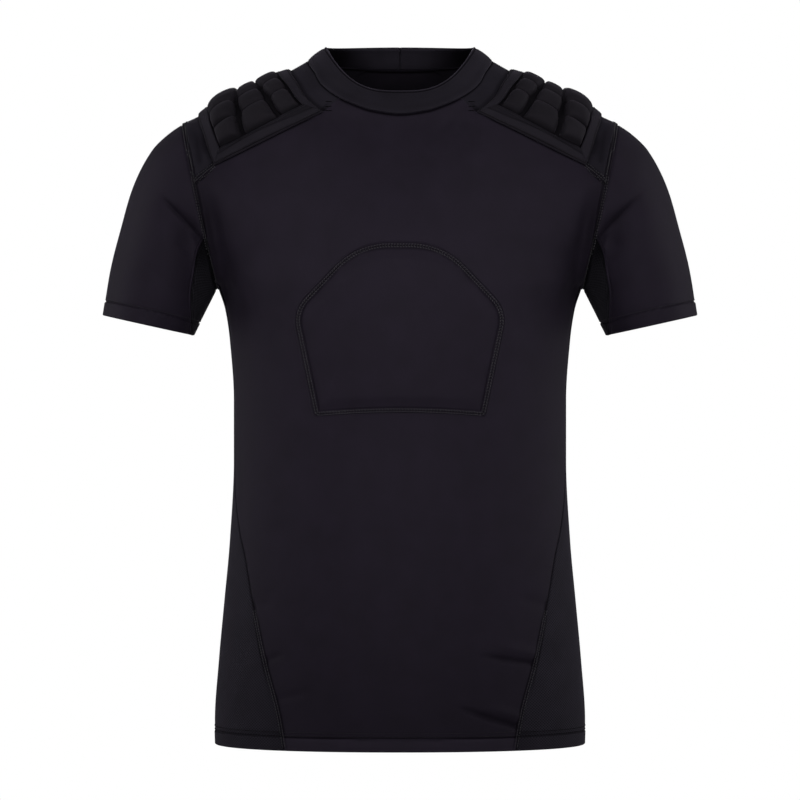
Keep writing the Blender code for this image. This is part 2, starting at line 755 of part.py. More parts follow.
def make_neckband():
    """A strip from the neckline to the collar's upper edge, joined at the middle of the back."""
    lower_halves = [neckline_quarter(face) for face in (FRONT, BACK)]
    upper_halves = [
        band_top_quarter(face, travelled(half)) for face, half in zip((FRONT, BACK), lower_halves)
    ]
    lower, upper = full_loop(*lower_halves), full_loop(*upper_halves)
    rows = []
    for i in range(BAND_ROWS + 1):
        share = i / BAND_ROWS
        row = []
        for low, high in zip(lower, upper):
            outward = Vector((low.x, low.y, 0)).normalized()
            row.append(blend(low, high, share) + outward * BAND_BULGE * math.sin(math.pi * share))
        rows.append(row)
    rows = draw_in(draw_in(rows, ("sides",)), ("bottom",), BAND_DRAWN_UP)
    cloth("neckband", "neckband", rows, BAND_CLOTH, outward=True)


def make_chest_pad():
    """A thin pad on the chest, that thins out to its sewn edge."""
    acrosses = [-1.0] + even_steps(-1.0, 1.0, CHEST_PAD_COLUMNS)
    rises = [0.0, CHEST_PAD_SLOPE / 2] + [
        (row.z - CHEST_PAD[0].z) / (CHEST_PAD[-1].z - CHEST_PAD[0].z) for row in CHEST_PAD[1:]
    ]
    rises = sorted(rises + even_steps(0.1, 0.5, 4) + [0.74, 0.82])
    rows, weights = [], []
    for rise in rises:
        row, weight_row = [], []
        for across in acrosses:
            point = chest_pad_point(across, rise)
            sideways = chest_pad_point(across + 1e-3, rise) - chest_pad_point(across - 1e-3, rise)
            upwards = chest_pad_point(across, rise + 1e-3) - chest_pad_point(across, rise - 1e-3)
            row.append(point + sideways.cross(upwards).normalized() * CHEST_PAD_GAP)
            from_edge = min(1 - abs(across), 2 * rise, 2 - 2 * rise) / CHEST_PAD_SLOPE
            height = blend(CHEST_PAD_EDGE, CHEST_PAD_THICKNESS, smooth_step(from_edge))
            weight_row.append(height / CHEST_PAD_THICKNESS)
        rows.append(row)
        weights.append(weight_row)
    cloth("chest_pad", "jersey", rows, CHEST_PAD_THICKNESS, outward=True, weights=weights)


def make_shoulder_pad(hand):
    """Foam blocks on a common base, over the shoulder, with a sloping rim."""
    acrosses = grid_stops(BLOCKS_ACROSS)
    alongs = pad_rows()
    rows = [[pad_base_point(across, along) for across in acrosses] for along in alongs]
    highest = max(BLOCK_TOPS)
    weights = [[pad_height(across, along) / highest for across in acrosses] for along in alongs]
    if hand == RIGHT:
        weights = [list(reversed(row)) for row in weights]
    name = f"shoulder_pad_{SIDE_NAMES[hand]}"
    cloth(name, "pad_cover", handed(rows, hand), highest, outward=True, weights=weights)


def make_pad_strips(hand):
    """Four strips of cloth on the pad's grid lines, that hold its rim down over the yoke's seams."""
    acrosses = grid_stops(BLOCKS_ACROSS)
    alongs = [-STRIP_OVERHANG] + pad_rows()[1:-1] + [1 + STRIP_OVERHANG]
    window = [stop for stop in acrosses if BLOCKS_ACROSS[0] <= stop <= BLOCKS_ACROSS[-1]]
    strips = {
        "front": (window, [stop for stop in alongs if stop <= BLOCKS_ALONG[0]]),
        "back": (window, [stop for stop in alongs if stop >= BLOCKS_ALONG[-1]]),
        "neck": ([stop for stop in acrosses if stop <= BLOCKS_ACROSS[0]], alongs),
        "arm": ([stop for stop in acrosses if stop >= BLOCKS_ACROSS[-1]], alongs),
    }
    for kind, (strip_acrosses, strip_alongs) in strips.items():
        rows = [[strip_point(across, along) for across in strip_acrosses] for along in strip_alongs]
        rows = handed(draw_in(rows, ("top", "bottom", "sides"), STRIP_GAP), hand)
        name = f"pad_strip_{kind}_{SIDE_NAMES[hand]}"
        cloth(name, "jersey", rows, STRIP_CLOTH, outward=True)


for leftover in list(bpy.data.objects):
    bpy.data.objects.remove(leftover)
collection = bpy.data.collections.new("protective_vest")
bpy.context.scene.collection.children.link(collection)

make_torso_panel("front_panel", FRONT)
make_torso_panel("back_panel", BACK)
make_neckband()
make_chest_pad()
for side in (LEFT, RIGHT):
    make_side_panel(side)
    make_yoke(side)
    make_sleeve(side)
    make_shoulder_pad(side)
    make_pad_strips(side)
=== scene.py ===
"""The protective vest's looks: fine cloth shells, padded blocks, stitching, light and camera.

Metres, +Z up, the front faces -Y and the wearer's left side is at +X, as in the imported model. Grids
are arrays of points, in rows from the lower edge up, each row from left to right as seen outside.
"""

import math
from collections import namedtuple

import bpy
import numpy as np
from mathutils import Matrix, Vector
from mathutils.bvhtree import BVHTree


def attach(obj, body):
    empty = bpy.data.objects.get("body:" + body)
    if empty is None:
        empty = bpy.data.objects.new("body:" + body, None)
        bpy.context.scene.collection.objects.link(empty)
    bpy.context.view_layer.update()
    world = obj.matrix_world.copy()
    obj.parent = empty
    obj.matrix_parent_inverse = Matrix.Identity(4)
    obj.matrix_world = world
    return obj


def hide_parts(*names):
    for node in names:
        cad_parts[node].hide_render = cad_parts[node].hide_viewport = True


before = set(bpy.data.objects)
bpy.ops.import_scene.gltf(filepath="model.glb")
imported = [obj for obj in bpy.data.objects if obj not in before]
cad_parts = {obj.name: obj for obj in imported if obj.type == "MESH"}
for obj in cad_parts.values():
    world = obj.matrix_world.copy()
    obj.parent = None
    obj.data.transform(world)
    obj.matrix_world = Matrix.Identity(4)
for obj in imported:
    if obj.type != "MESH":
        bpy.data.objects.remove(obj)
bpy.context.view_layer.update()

FRONT, BACK = -1, 1
LEFT, RIGHT = 1, -1
SIDE_NAMES = {LEFT: "left", RIGHT: "right"}

# Cloth, seams and hems
JERSEY = 0.0012
AIR_MESH = 0.0011
BAND_CLOTH = 0.0021
STRIP_CLOTH = 0.0012
HEM_DEPTH = 0.0132
CUFF_HEM_DEPTH = 0.0140
HEM_LAYERS = 2.0
SECOND_HEM_LINE = 0.0052
FOLD_RADIUS = 0.0011
LYING_GAP = 0.0003

# Heights and corners of the cut, seen from the front
Corner = namedtuple("Corner", "x z")
HEM_Z = -0.6488
ARMPIT = Corner(0.182, -0.193)
SHOULDER_TIP = Corner(0.215, -0.029)
NECK_POINT = Corner(0.0897, 0.034)
CUFF_INNER = Corner(0.2065, -0.2415)
NECK_BACK_Z = 0.0300
YOKE_AT_ARMHOLE_Z = -0.0913
SIDE_SEAM_TOP_Z = -0.1865
ARMHOLE_HALF_DEPTH = 0.063
ARMHOLE_MIDDLE = (ARMPIT.z + SHOULDER_TIP.z) / 2
ARMHOLE_REACH = (SHOULDER_TIP.z - ARMPIT.z) / 2
FLATNESS = 2.2

# Half the garment's width below the armpits, and along the shoulder's slope
Width = namedtuple("Width", "z half_width")
SIDES = [
    Width(-0.647, 0.1845),
    Width(-0.626, 0.1850),
    Width(-0.566, 0.1810),
    Width(-0.506, 0.1755),
    Width(-0.446, 0.1700),
    Width(-0.366, 0.1660),
    Width(-0.306, 0.1660),
    Width(-0.246, 0.1700),
    Width(-0.216, 0.1745),
    Width(-0.193, 0.1820),
]
SHOULDER_SLOPE = [
    Width(-0.0290, 0.2150),
    Width(-0.0225, 0.2010),
    Width(0.0225, 0.1100),
    Width(0.0340, 0.0897),
    Width(0.0440, 0.0720),
]

# How far the front and the back stand off the middle plane, how round the sides are, and how
# far the armhole's edge shapes the cloth beside it
Depth = namedtuple("Depth", "z front back roundness reach")
DEPTHS = [
    Depth(-0.647, 0.112, 0.110, 2.3, 16),
    Depth(-0.566, 0.110, 0.107, 2.3, 16),
    Depth(-0.506, 0.108, 0.102, 2.3, 16),
    Depth(-0.446, 0.107, 0.096, 2.3, 16),
    Depth(-0.366, 0.108, 0.093, 2.3, 16),
    Depth(-0.306, 0.112, 0.098, 2.3, 16),
    Depth(-0.246, 0.117, 0.107, 2.3, 16),
    Depth(-0.193, 0.119, 0.113, 2.2, 16),
    Depth(-0.150, 0.115, 0.115, 1.6, 7),
    Depth(-0.110, 0.106, 0.112, 1.35, 5),
    Depth(-0.070, 0.091, 0.103, 1.45, 7),
    Depth(-0.029, 0.070, 0.084, 2.0, 16),
    Depth(0.0000, 0.063, 0.071, 2.0, 16),
    Depth(0.0340, 0.055, 0.058, 2.0, 16),
    Depth(0.0440, 0.053, 0.054, 2.0, 16),
]

# The front neckline's height at shares of the body's half width there
Neckline = namedtuple("Neckline", "share z")
NECKLINE = [
    Neckline(-0.135, -0.0193),
    Neckline(0.000, -0.0228),
    Neckline(0.135, -0.0193),
    Neckline(0.221, -0.0144),
    Neckline(0.324, -0.0078),
    Neckline(0.540, 0.0075),
    Neckline(0.689, 0.0184),
    Neckline(1.000, 0.0340),
]

# Half the side panel's depth, front to back, down the side
SideSeam = namedtuple("SideSeam", "z depth")
SIDE_SEAM = [
    SideSeam(-0.6470, 0.0936),
    SideSeam(-0.6128, 0.0902),
    SideSeam(-0.5636, 0.0810),
    SideSeam(-0.5122, 0.0695),
    SideSeam(-0.4590, 0.0545),
    SideSeam(-0.4350, 0.0440),
    SideSeam(-0.3760, 0.0215),
    SideSeam(-0.3000, 0.0170),
    SideSeam(-0.1865, 0.0240),
]

# The yoke's seams and the shoulder line's height, at the shares of its length where a pad's sides cross them
YokeStop = namedtuple("YokeStop", "share front_x front_z ridge_z back_x back_z")
YOKE_STOPS = [
    YokeStop(0.00, 0.0575, -0.0064, 0.0340, 0.0340, 0.0310),
    YokeStop(0.11, 0.0755, -0.0226, 0.0225, 0.0740, -0.0040),
    YokeStop(0.86, 0.1835, -0.0750, -0.0225, 0.1840, -0.0706),
    YokeStop(1.00, 0.2025, -0.0913, -0.0290, 0.2025, -0.0913),
]

# The sleeve's upper outline from the armhole to the cuff, seen from the front, and its half depth
SleeveTop = namedtuple("SleeveTop", "share x z half_depth")
SLEEVE_TOP = [
    SleeveTop(0.0, 0.2150, -0.0290, 0.0630),
    SleeveTop(0.1, 0.2310, -0.0400, 0.0630),
    SleeveTop(0.2, 0.2475, -0.0563, 0.0625),
    SleeveTop(0.4, 0.2670, -0.0938, 0.0615),
    SleeveTop(0.6, 0.2790, -0.1348, 0.0605),
    SleeveTop(0.8, 0.2894, -0.1760, 0.0595),
    SleeveTop(1.0, 0.2968, -0.2215, 0.0580),
]

# Half the angle that the underarm gusset takes up round the sleeve
GussetWidth = namedtuple("GussetWidth", "share half_angle")
GUSSET = [
    GussetWidth(0.000, math.radians(66)),
    GussetWidth(0.125, math.radians(63)),
    GussetWidth(0.300, math.radians(54)),
    GussetWidth(0.500, math.radians(47)),
    GussetWidth(0.820, math.radians(28)),
    GussetWidth(1.000, math.radians(20)),
]

# Folds that the solids have too, on both sides, as troughs seen from the front
Fold = namedtuple("Fold", "start_x start_z end_x end_z half_width depth")
SLEEVE_FOLDS = [
    Fold(0.240, -0.105, 0.203, -0.142, 0.012, 0.0040),
    Fold(0.214, -0.108, 0.194, -0.200, 0.016, 0.0090),
]
CHEST_FOLDS = [
    Fold(0.188, -0.085, 0.176, -0.215, 0.016, 0.0035),
    Fold(0.1960, -0.080, 0.1725, -0.205, 0.0095, 0.0130),
]

# Where the sleeve keeps light off the body beside the armhole
TROUGH_SHADES = [Fold(0.2060, -0.060, 0.1790, -0.200, 0.0130, 1.0)]

# Smaller creases on the front, by the wearer's own side: troughs, or ridges where depth is negative
FRONT_CREASES = [
    Fold(0.110, -0.498, 0.1425, -0.5075, 0.0042, 0.0013),
    Fold(0.0740, -0.5545, 0.1310, -0.5640, 0.0030, 0.0022),
    Fold(0.090, -0.545, 0.1340, -0.5545, 0.0050, -0.0014),
    Fold(0.0500, -0.6035, 0.1160, -0.6255, 0.0030, 0.0024),
    Fold(0.080, -0.604, 0.1200, -0.6165, 0.0050, -0.0014),
    Fold(-0.120, -0.503, -0.1440, -0.5090, 0.0040, 0.0010),
    Fold(-0.112, -0.553, -0.1325, -0.5625, 0.0042, 0.0013),
    Fold(-0.085, -0.590, -0.1180, -0.5980, 0.0045, 0.0008),
    Fold(0.0640, -0.0190, 0.0450, -0.0340, 0.0035, 0.0016),
    Fold(0.0690, -0.0240, 0.0560, -0.0420, 0.0035, 0.0010),
    Fold(-0.0640, -0.0190, -0.0450, -0.0340, 0.0035, 0.0015),
    Fold(-0.0690, -0.0240, -0.0540, -0.0400, 0.0035, 0.0011),
    Fold(0.168, -0.205, 0.120, -0.236, 0.0120, 0.0016),
    Fold(-0.168, -0.207, -0.124, -0.240, 0.0120, 0.0014),
    Fold(0.150, -0.300, 0.110, -0.420, 0.0200, 0.0010),
    Fold(-0.152, -0.310, -0.112, -0.430, 0.0200, 0.0012),
]
# Gathers where the side seams were sewn off, which get more painted shade than other creases
SEAM_KNOTS = [
    Fold(0.1450, -0.4990, 0.1430, -0.5160, 0.0018, 0.0012),
    Fold(0.1345, -0.5540, 0.1318, -0.5690, 0.0018, 0.0014),
    Fold(-0.1450, -0.5000, -0.1428, -0.5165, 0.0018, 0.0014),
    Fold(-0.1350, -0.5550, -0.1312, -0.5710, 0.0018, 0.0012),
]
BACK_CREASES = [
    Fold(0.150, -0.496, 0.098, -0.508, 0.0050, 0.0014),
    Fold(0.140, -0.548, 0.076, -0.566, 0.0055, 0.0018),
    Fold(-0.152, -0.505, -0.106, -0.520, 0.0050, 0.0013),
    Fold(-0.138, -0.570, -0.070, -0.585, 0.0060, 0.0017),
    Fold(0.090, -0.395, -0.060, -0.412, 0.0100, 0.0022),
    Fold(-0.100, -0.372, 0.040, -0.382, 0.0090, 0.0016),
    Fold(0.060, -0.435, -0.095, -0.448, 0.0110, 0.0018),
    Fold(0.168, -0.203, 0.112, -0.244, 0.0120, 0.0020),
    Fold(-0.168, -0.201, -0.118, -0.240, 0.0120, 0.0018),
]
YOKE_CREASES = {
    LEFT: [
        Fold(0.2030, -0.0330, 0.1973, -0.0690, 0.0026, 0.0013),
        Fold(0.1970, -0.0420, 0.1921, -0.0615, 0.0024, 0.0012),
    ],
    RIGHT: [
        Fold(0.2025, -0.0350, 0.1969, -0.0705, 0.0026, 0.0012),
        Fold(0.1966, -0.0400, 0.1917, -0.0600, 0.0024, 0.0013),
    ],
}
SLEEVE_CREASES = {
    LEFT: [
        Fold(0.244, -0.096, 0.196, -0.145, 0.0020, 0.0032),
        Fold(0.232, -0.101, 0.200, -0.134, 0.0060, -0.0014),
        Fold(0.222, -0.150, 0.206, -0.163, 0.0050, 0.0010),
        Fold(0.250, -0.160, 0.220, -0.196, 0.0080, 0.0008),
    ],
    RIGHT: [
        Fold(0.242, -0.098, 0.195, -0.147, 0.0020, 0.0033),
        Fold(0.230, -0.103, 0.199, -0.136, 0.0060, -0.0015),
        Fold(0.224, -0.146, 0.207, -0.161, 0.0050, 0.0012),
        Fold(0.254, -0.168, 0.222, -0.200, 0.0080, 0.0008),
    ],
}

# Neckband: its upper edge, as half widths front to back and heights
BAND_TOP_X = 0.0725
BAND_TOP_FRONT_Y = 0.056
BAND_TOP_BACK_Y = 0.050
BAND_TOP_FRONT_Z = -0.0007
BAND_TOP_SIDE_Z = 0.0472
BAND_TOP_BACK_Z = 0.0514
BAND_DIP = 3.0
BAND_BULGE = 0.0018
BAND_LAP = 0.07

# Chest pad: its outline as corners with radii, right to left round its left half
OutlineCorner = namedtuple("OutlineCorner", "x z radius")
CHEST_OUTLINE = [
    OutlineCorner(0.0000, -0.1560, 0.0),
    OutlineCorner(0.0405, -0.1560, 0.070),
    OutlineCorner(0.1012, -0.2195, 0.030),
    OutlineCorner(0.0806, -0.3196, 0.0025),
    OutlineCorner(0.0000, -0.3160, 0.0),
]
CHEST_PAD_THICKNESS = 0.0024
CHEST_PAD_SLOPE = 0.0130

# Shoulder pads: shares of the pad's own width and length, and heights above the yoke
PAD_FRONT_SHARE = 0.006
STRIP_SHARE_ALONG = 0.0445
STRIP_OVERHANG = 0.007
PAD_EDGE = 0.0008
PAD_STEP = 0.0036
PAD_GROOVE = 0.0012
BLOCK_TOPS = [0.0088, 0.0092, 0.0124]
BLOCK_LENGTHS = [0.143, 0.137, 0.440, 0.137, 0.143]

# Lines along a pad, from its neck side over its window and grooves to its arm side, as shares of the
# yoke's length at the pad's ends and on the shoulder's ridge
PadLine = namedtuple("PadLine", "end ridge")
PAD_LINES = [
    PadLine(0.110, 0.105),
    PadLine(0.160, 0.212),
    PadLine(0.330, 0.393),
    PadLine(0.605, 0.514),
    PadLine(0.785, 0.775),
    PadLine(0.860, 0.860),
]

# Lines along seams and stitches: how far from an edge, how wide, and how dark or deep
Line = namedtuple("Line", "place half_width depth")

# How near its edges the body's folds end, and how far past the armhole the sleeve's begin
FOLD_END = 16
ARMHOLE_SMOOTH = 1 / 6

# Flat sewn seams
SEAM_ROW = 0.0013
ARMHOLE_ROW = 0.0023
ARMHOLE_ROWS = (-ARMHOLE_ROW, 0.0, ARMHOLE_ROW)
SEAM_RISE = 0.0003
SEAM_RISE_WIDTH = 0.0034
SEAM_RISE_SLOPE = 0.0008
SEAM_DIP = Line(0.0, 0.0008, 0.0006)
SEAM_SIDE_DENT = Line(0.0036, 0.0007, 0.0009)
SEAM_LINES = [
    Line(ARMHOLE_ROW / 2, 0.0006, 0.65),
    Line(0.0036, 0.0007, 0.5),
    Line(ARMHOLE_ROW, 0.0008, 0.3),
]
PLAIN_SEAM_X = 0.068
PLAIN_SEAM_FADE = 0.007
PAST_PAD_FADE = 0.004
BELOW_YOKE_FADE = 0.006

# Side seams, sewn flat below a height
SIDE_STITCHES_TOP_Z = -0.512
SIDE_STITCHES_START = 0.004
SIDE_STITCHES_FADE = 0.012
SIDE_ROW = 0.0028
SIDE_ROWS = (-0.0013, 0.0013)
SIDE_LINE_WIDTH = 0.0008
SIDE_LINE_AT_HEM = 0.30
SIDE_LINE_ABOVE = 0.70
SIDE_MIDDLE_LINE = Line(0.0, 0.0006, 0.4)
SIDE_PLAIN_LINE = Line(0.0, 0.0012, 0.6)
SIDE_DIP_WIDTH = 0.0013
SIDE_DIP = 0.0009
SIDE_FLAT_DIP = 0.0002

# Hems: how much painted light brightens the body's double hem, and its lines: dents, and painted shadow
# along the hem's stitches
HEM_PAINTED_LIGHT = 0.48
HEM_FADE = 0.001
HEM_RISE = 0.0005
HEM_RISE_SLOPE = 0.0006
HEM_DENT = Line(0.0004, 0.0007, 0.0010)
HEM_LINE = Line(0.0005, 0.0006, 0.4)
SECOND_LINE = Line(HEM_DEPTH + SECOND_HEM_LINE, 0.0007, 0.5)

# Other seams
NECK_LINE = Line(0.0035, 0.0013, 0.85)
NECK_DIP = Line(0.0, 0.0014, 0.0012)
GROOVE_LINE = Line(0.0004, 0.0010, 0.85)
GUSSET_LINE = Line(0.0, 0.0010, 0.6)
MITRE_DIP = Line(0.0, 0.0010, 0.0003)

# Creases: how far they stay from a piece's sides, and how much painted shade darkens the sharp ones and the
# knots
CREASE_CLEAR = 0.0040
CREASE_SHADE = 0.28
SHARP_CREASE = 0.0021
KNOT_SHADE = 0.6
TROUGH_SHADE = 0.38

# Stops of the grids in metres from an edge or a line, and the steps between them
SEAM_STOPS = (0.0, 0.0005, 0.0012, 0.0020, 0.0027, 0.0031, 0.0035, 0.0039, 0.0046, 0.0060)
FOLD_STOPS = (0.0, 0.00012, 0.0004, 0.0008, 0.0013, 0.0022, 0.0040)
HEM_LINE_STOPS = (-0.0020, -0.0012, -0.0007, -0.0003, 0.0, 0.0004, 0.0010, 0.0018)
BAND_STOPS = (0.0, 0.0003, 0.0006, 0.0009, 0.0012, 0.0016, 0.0020, 0.0024, 0.0028, 0.0034)
GROOVE_STOPS = (0.0, 0.0003, 0.0009, 0.0012, 0.0016, 0.0022, 0.0030, 0.0042)
CHEST_PAD_STOPS = (
    0.0, 0.0006, 0.0012, 0.0015, 0.0018, 0.0021, 0.0025, 0.0033, 0.0046,
    0.0059, 0.0064, 0.0068, 0.0071, 0.0074, 0.0078, 0.0086, 0.0098, 0.0116,
)
COLUMN_COUNTS = {FRONT: (20, 5, 30, 11), BACK: (16, 4, 24, 10)}
ROW_STEPS = {FRONT: 0.0042, BACK: 0.0050}
CREASED_HEIGHT = 0.098
CREASED_STEP = 0.0015
HALF_PANEL = 0.16
HALF_SIDE = 0.06
SIDE_COLUMNS = 33
SIDE_STEP = 0.0042
YOKE_COUNTS = (10, 40, 10)
YOKE_LENGTH = 0.14
YOKE_ROUND = 0.19
YOKE_STEP = 0.0028
SLEEVE_ROUND = 0.30
SLEEVE_STEP = 0.0021
SLEEVE_FRONT_STEP = 0.0019
SLEEVE_BACK_STEP = 0.0040
GUSSET_ROUND = 0.08
GUSSET_STEP = 0.0027
STOP_DIGITS = 6
LOOP_SAMPLES = 600
FINE_SAMPLES = 4001

# The shadow beside a pad's frame, as shares of the yoke's length
FRAME_SHADOW = 0.65
FRAME_SHADOW_OUT = 0.006
FRAME_SHADOW_WIDTH = 0.007

# How little light reaches the cloth shut in under the arm
ARMPIT_SHADE = 0.3
ARMPIT_START = 0.4
GUSSET_TOP_Z = -0.150

# Neckband: its grid, its edges, its lines, among them a painted highlight along its rim with a painted
# shadow under it, how much painted light brightens its sides outside, and how much painted shade darkens its
# sides and foot inside
BAND_FRONT_COLUMNS = 70
BAND_BACK_COLUMNS = 60
BAND_HEIGHT = 0.026
BAND_STEP = 0.0014
BAND_OUT = BAND_CLOTH * 0.6
BAND_TOP_ROLL = 0.0007
BAND_FOOT_ROLL = 0.0014
BAND_RIM = 0.0030
BAND_RIM_DENT = Line(BAND_RIM, 0.0008, 0.0006)
BAND_JOIN_DIP = Line(0.0, 0.0012, 0.0005)
BAND_RIM_SHADOW = Line(BAND_RIM, 0.0011, 0.65)
BAND_RIM_LIGHT = Line(0.0004, 0.0011, -1.9)
BAND_FOOT_LINE = Line(0.0065, 0.0035, 0.12)
BAND_SIDE_LIGHT = 1.3
BAND_SIDE_START = 0.3
BAND_INSIDE_SHADE = 0.2
BAND_INSIDE_START = 0.35
BAND_INSIDE_RUN = 0.6
BAND_INSIDE_FOOT = 0.5

# Chest pad: its margin, its seam band and the lines in it
CHEST_PAD_WIDTH = 0.17
CHEST_PAD_STEP = 0.0030
CHEST_PAD_MARGIN = 0.0046
CHEST_PAD_BOW = 0.0036
MARGIN_EDGE = 0.0001
MARGIN_RISE = 0.0005
MARGIN_SLOPE = 0.0012
SEAM_BAND = 0.0022
SEAM_BAND_OVER = 0.0004
SEAM_BAND_SLOPE = 0.0006
SEAM_DENT = 0.0027
CHEST_DENT = Line(SEAM_DENT, 0.0006, 0.0006)
CHEST_MIDDLE_DENT = Line(0.0, 0.0006, 0.0005)
CHEST_MIDDLE_LINE = Line(0.0, 0.0008, 0.4)
CHEST_DENT_LINE = Line(SEAM_DENT, 0.0007, 0.4)
CHEST_ROW_LINE = Line(SEAM_ROW, 0.0006, 0.15)
OUTLINE_STEPS = 10
FINE_OUTLINE_STEPS = 24
BOW_STEPS = 40
SHORTEST_RUN = 1e-9

# Shoulder pads: the lengths in metres that their shares stand for, their grooves, walls and creases,
# and where along them, in shares, these change towards the shoulder's ridge
PAD_WIDTH = 0.118
PAD_LENGTH = 0.190
PAD_GRID = 0.0020
PAD_COVER = 0.0011
RIM_CURVE = 0.8
GROOVE_FLOOR = 0.0026
RIDGE_FLOOR = 0.0012
GROOVE_WALL = 0.0075
GROOVE_RISE = 0.62
ARM_WALL = 0.0210
ARM_FOOT = 0.20
END_WALL = 0.0072
CREASE_WALL = 0.0120
CREASE_DEPTH = 0.76
PINCH = 0.0017
PINCH_REACH = 0.0060
CROWN = 0.14
RIDGE_START = 0.3
RIDGE_RUN = 0.5
FILL_START = 0.5
FILL_RUN = 0.4
ROW_ARCH = 0.012
SAG_AT_END = 0.06
SAG_AT_RIDGE = 0.1
EVENING_ROUNDS = 90
GROOVE_SHADE = 0.40
END_SHADE = 0.80
END_SHADE_CLEAR = 0.0040
SHADE_START = 0.4

# Pad strips: their folded edges, how they are rounded, sewn down and faced, and how much painted light
# brightens them below their facing
Strip = namedtuple("Strip", "kind outer inner length line_shade finish")
STRIPS = [
    Strip("front", "bottom", "top", 0.10, 0.8, "strip_jersey"),
    Strip("back", "top", "bottom", 0.10, 0.8, "strip_jersey"),
    Strip("neck", "left", "right", 0.17, 0.7, "rim_jersey"),
    Strip("arm", "right", "left", 0.17, 0.65, "rim_jersey"),
]
STRIP_WIDTH = 0.016
STRIP_INSET_STEP = 0.0007
STRIP_STEP = 0.0026
STRIP_OUTER_ROLL = 0.0020
STRIP_INNER_ROLL = 0.0009
STRIP_LINE = 0.0030
STRIP_LINE_WIDTH = 0.0007
STRIP_DENT = 0.0005
STRIP_DENT_WIDTH = 0.0008
STRIP_FACING = 0.0125
STRIP_FACING_SHADE = 0.25
STRIP_PAINTED_LIGHT = 0.34
STRIP_PAINTED_LIGHT_FADE = 0.0010

# Stitches, the bends of a single one, and where rows of them run
Stitch = namedtuple("Stitch", "pitch length radius")
HEM_STITCH = Stitch(0.0026, 0.0019, 0.00026)
SIDE_STITCH = Stitch(0.0026, 0.0019, 0.00036)
SEAM_STITCH = Stitch(0.0028, 0.0015, 0.00046)
# Black dashes down the chest pad's seam: painted shadow of its needle holes
NEEDLE_HOLE_SHADOW = Stitch(0.0028, 0.0012, 0.00048)
STRIP_STITCH = Stitch(0.0022, 0.0016, 0.00018)
GATHER_STITCH = Stitch(0.0031, 0.0031, 0.00036)
CROSS_THREAD = 0.00020
CROSS_REACH = 0.0010
THREAD_SIDES = 5
THREAD_LIFT = 0.00022
THREAD_SINK = 0.00030
Bend = namedtuple("Bend", "share lift")
THREAD_BENDS = [
    Bend(0.0, -THREAD_SINK),
    Bend(0.22, THREAD_LIFT),
    Bend(0.78, THREAD_LIFT),
    Bend(1.0, -THREAD_SINK),
]
HEM_STITCH_ABOVE = 0.0016
CUFF_STITCH_ABOVE = 0.0018
CUFF_SHARE_STEP = 0.02
STRIP_STITCH_INSETS = (0.16, 0.84)
GATHER_HEIGHTS = (-0.0121, -0.0170, -0.0213)
GATHER_REACH = (0.0735, 0.0672)
HEM_SAMPLES = 200
SIDE_SAMPLES = 60
CUFF_SAMPLES = 300
ARMHOLE_SAMPLES = 400
YOKE_SEAM_SAMPLES = 40
SIDE_SEAM_SAMPLES = 120
STRIP_SAMPLES = 120
GATHER_SAMPLES = 12


# Curves and small tools


def blend(a, b, share):
    return a + (b - a) * share


def smooth_step(share):
    share = np.clip(share, 0.0, 1.0)
    return share * share * (3 - 2 * share)


def bell(away, half_width):
    """1 in the middle of a line, fading out on both sides."""
    return np.exp(-((away / half_width) ** 2))


def unit(vectors, least=1e-12):
    return vectors / np.maximum(np.linalg.norm(vectors, axis=-1, keepdims=True), least)


def mirrored(points):
    return points * np.array([-1.0, 1.0, 1.0])


def handed(points, hand):
    return points if hand == LEFT else mirrored(points)


def smooth_curve(rows, column):
    """A function of the table's first column through one of its others, with no overshoot."""
    knots = np.array([row[0] for row in rows])
    values = np.array([getattr(row, column) for row in rows])
    steps = np.diff(knots)
    slopes = np.diff(values) / steps
    product = slopes[:-1] * slopes[1:]
    total = np.where(product > 0, slopes[:-1] + slopes[1:], 1.0)
    inner = np.where(product > 0, 2 * product / total, 0.0)
    tangents = np.concatenate([slopes[:1], inner, slopes[-1:]])

    def at(key):
        i = np.clip(np.searchsorted(knots, key, side="right") - 1, 0, len(steps) - 1)
        t = np.clip((key - knots[i]) / steps[i], 0.0, 1.0)
        pulls = t * (1 - t) ** 2 * tangents[i] + t * t * (t - 1) * tangents[i + 1]
        return blend(values[i], values[i + 1], smooth_step(t)) + pulls * steps[i]

    return at


def straight_curve(rows, column):
    """A function of the table's first column through one of its others, in straight runs."""
    knots = [row[0] for row in rows]
    values = [getattr(row, column) for row in rows]
    return lambda key: np.interp(key, knots, values)


def travelled(points):
    """The distance along a run of points to each of them."""
    steps = np.linalg.norm(np.diff(points, axis=0), axis=1)
    return np.concatenate([[0.0], np.cumsum(steps)])


def even_run(points, count):
    """Points at equal distances along a run of points."""
    along = travelled(points)
    wanted = np.linspace(0.0, along[-1], count + 1)
    return np.stack([np.interp(wanted, along, points[:, k]) for k in range(3)], axis=-1)


def directions(surface_point, u, v, step=0.002):
    """A surface's outward directions, from its points a small step to each side."""
    across = surface_point(u + step, v) - surface_point(u - step, v)
    up = surface_point(u, v + step) - surface_point(u, v - step)
    return unit(np.cross(across, up))


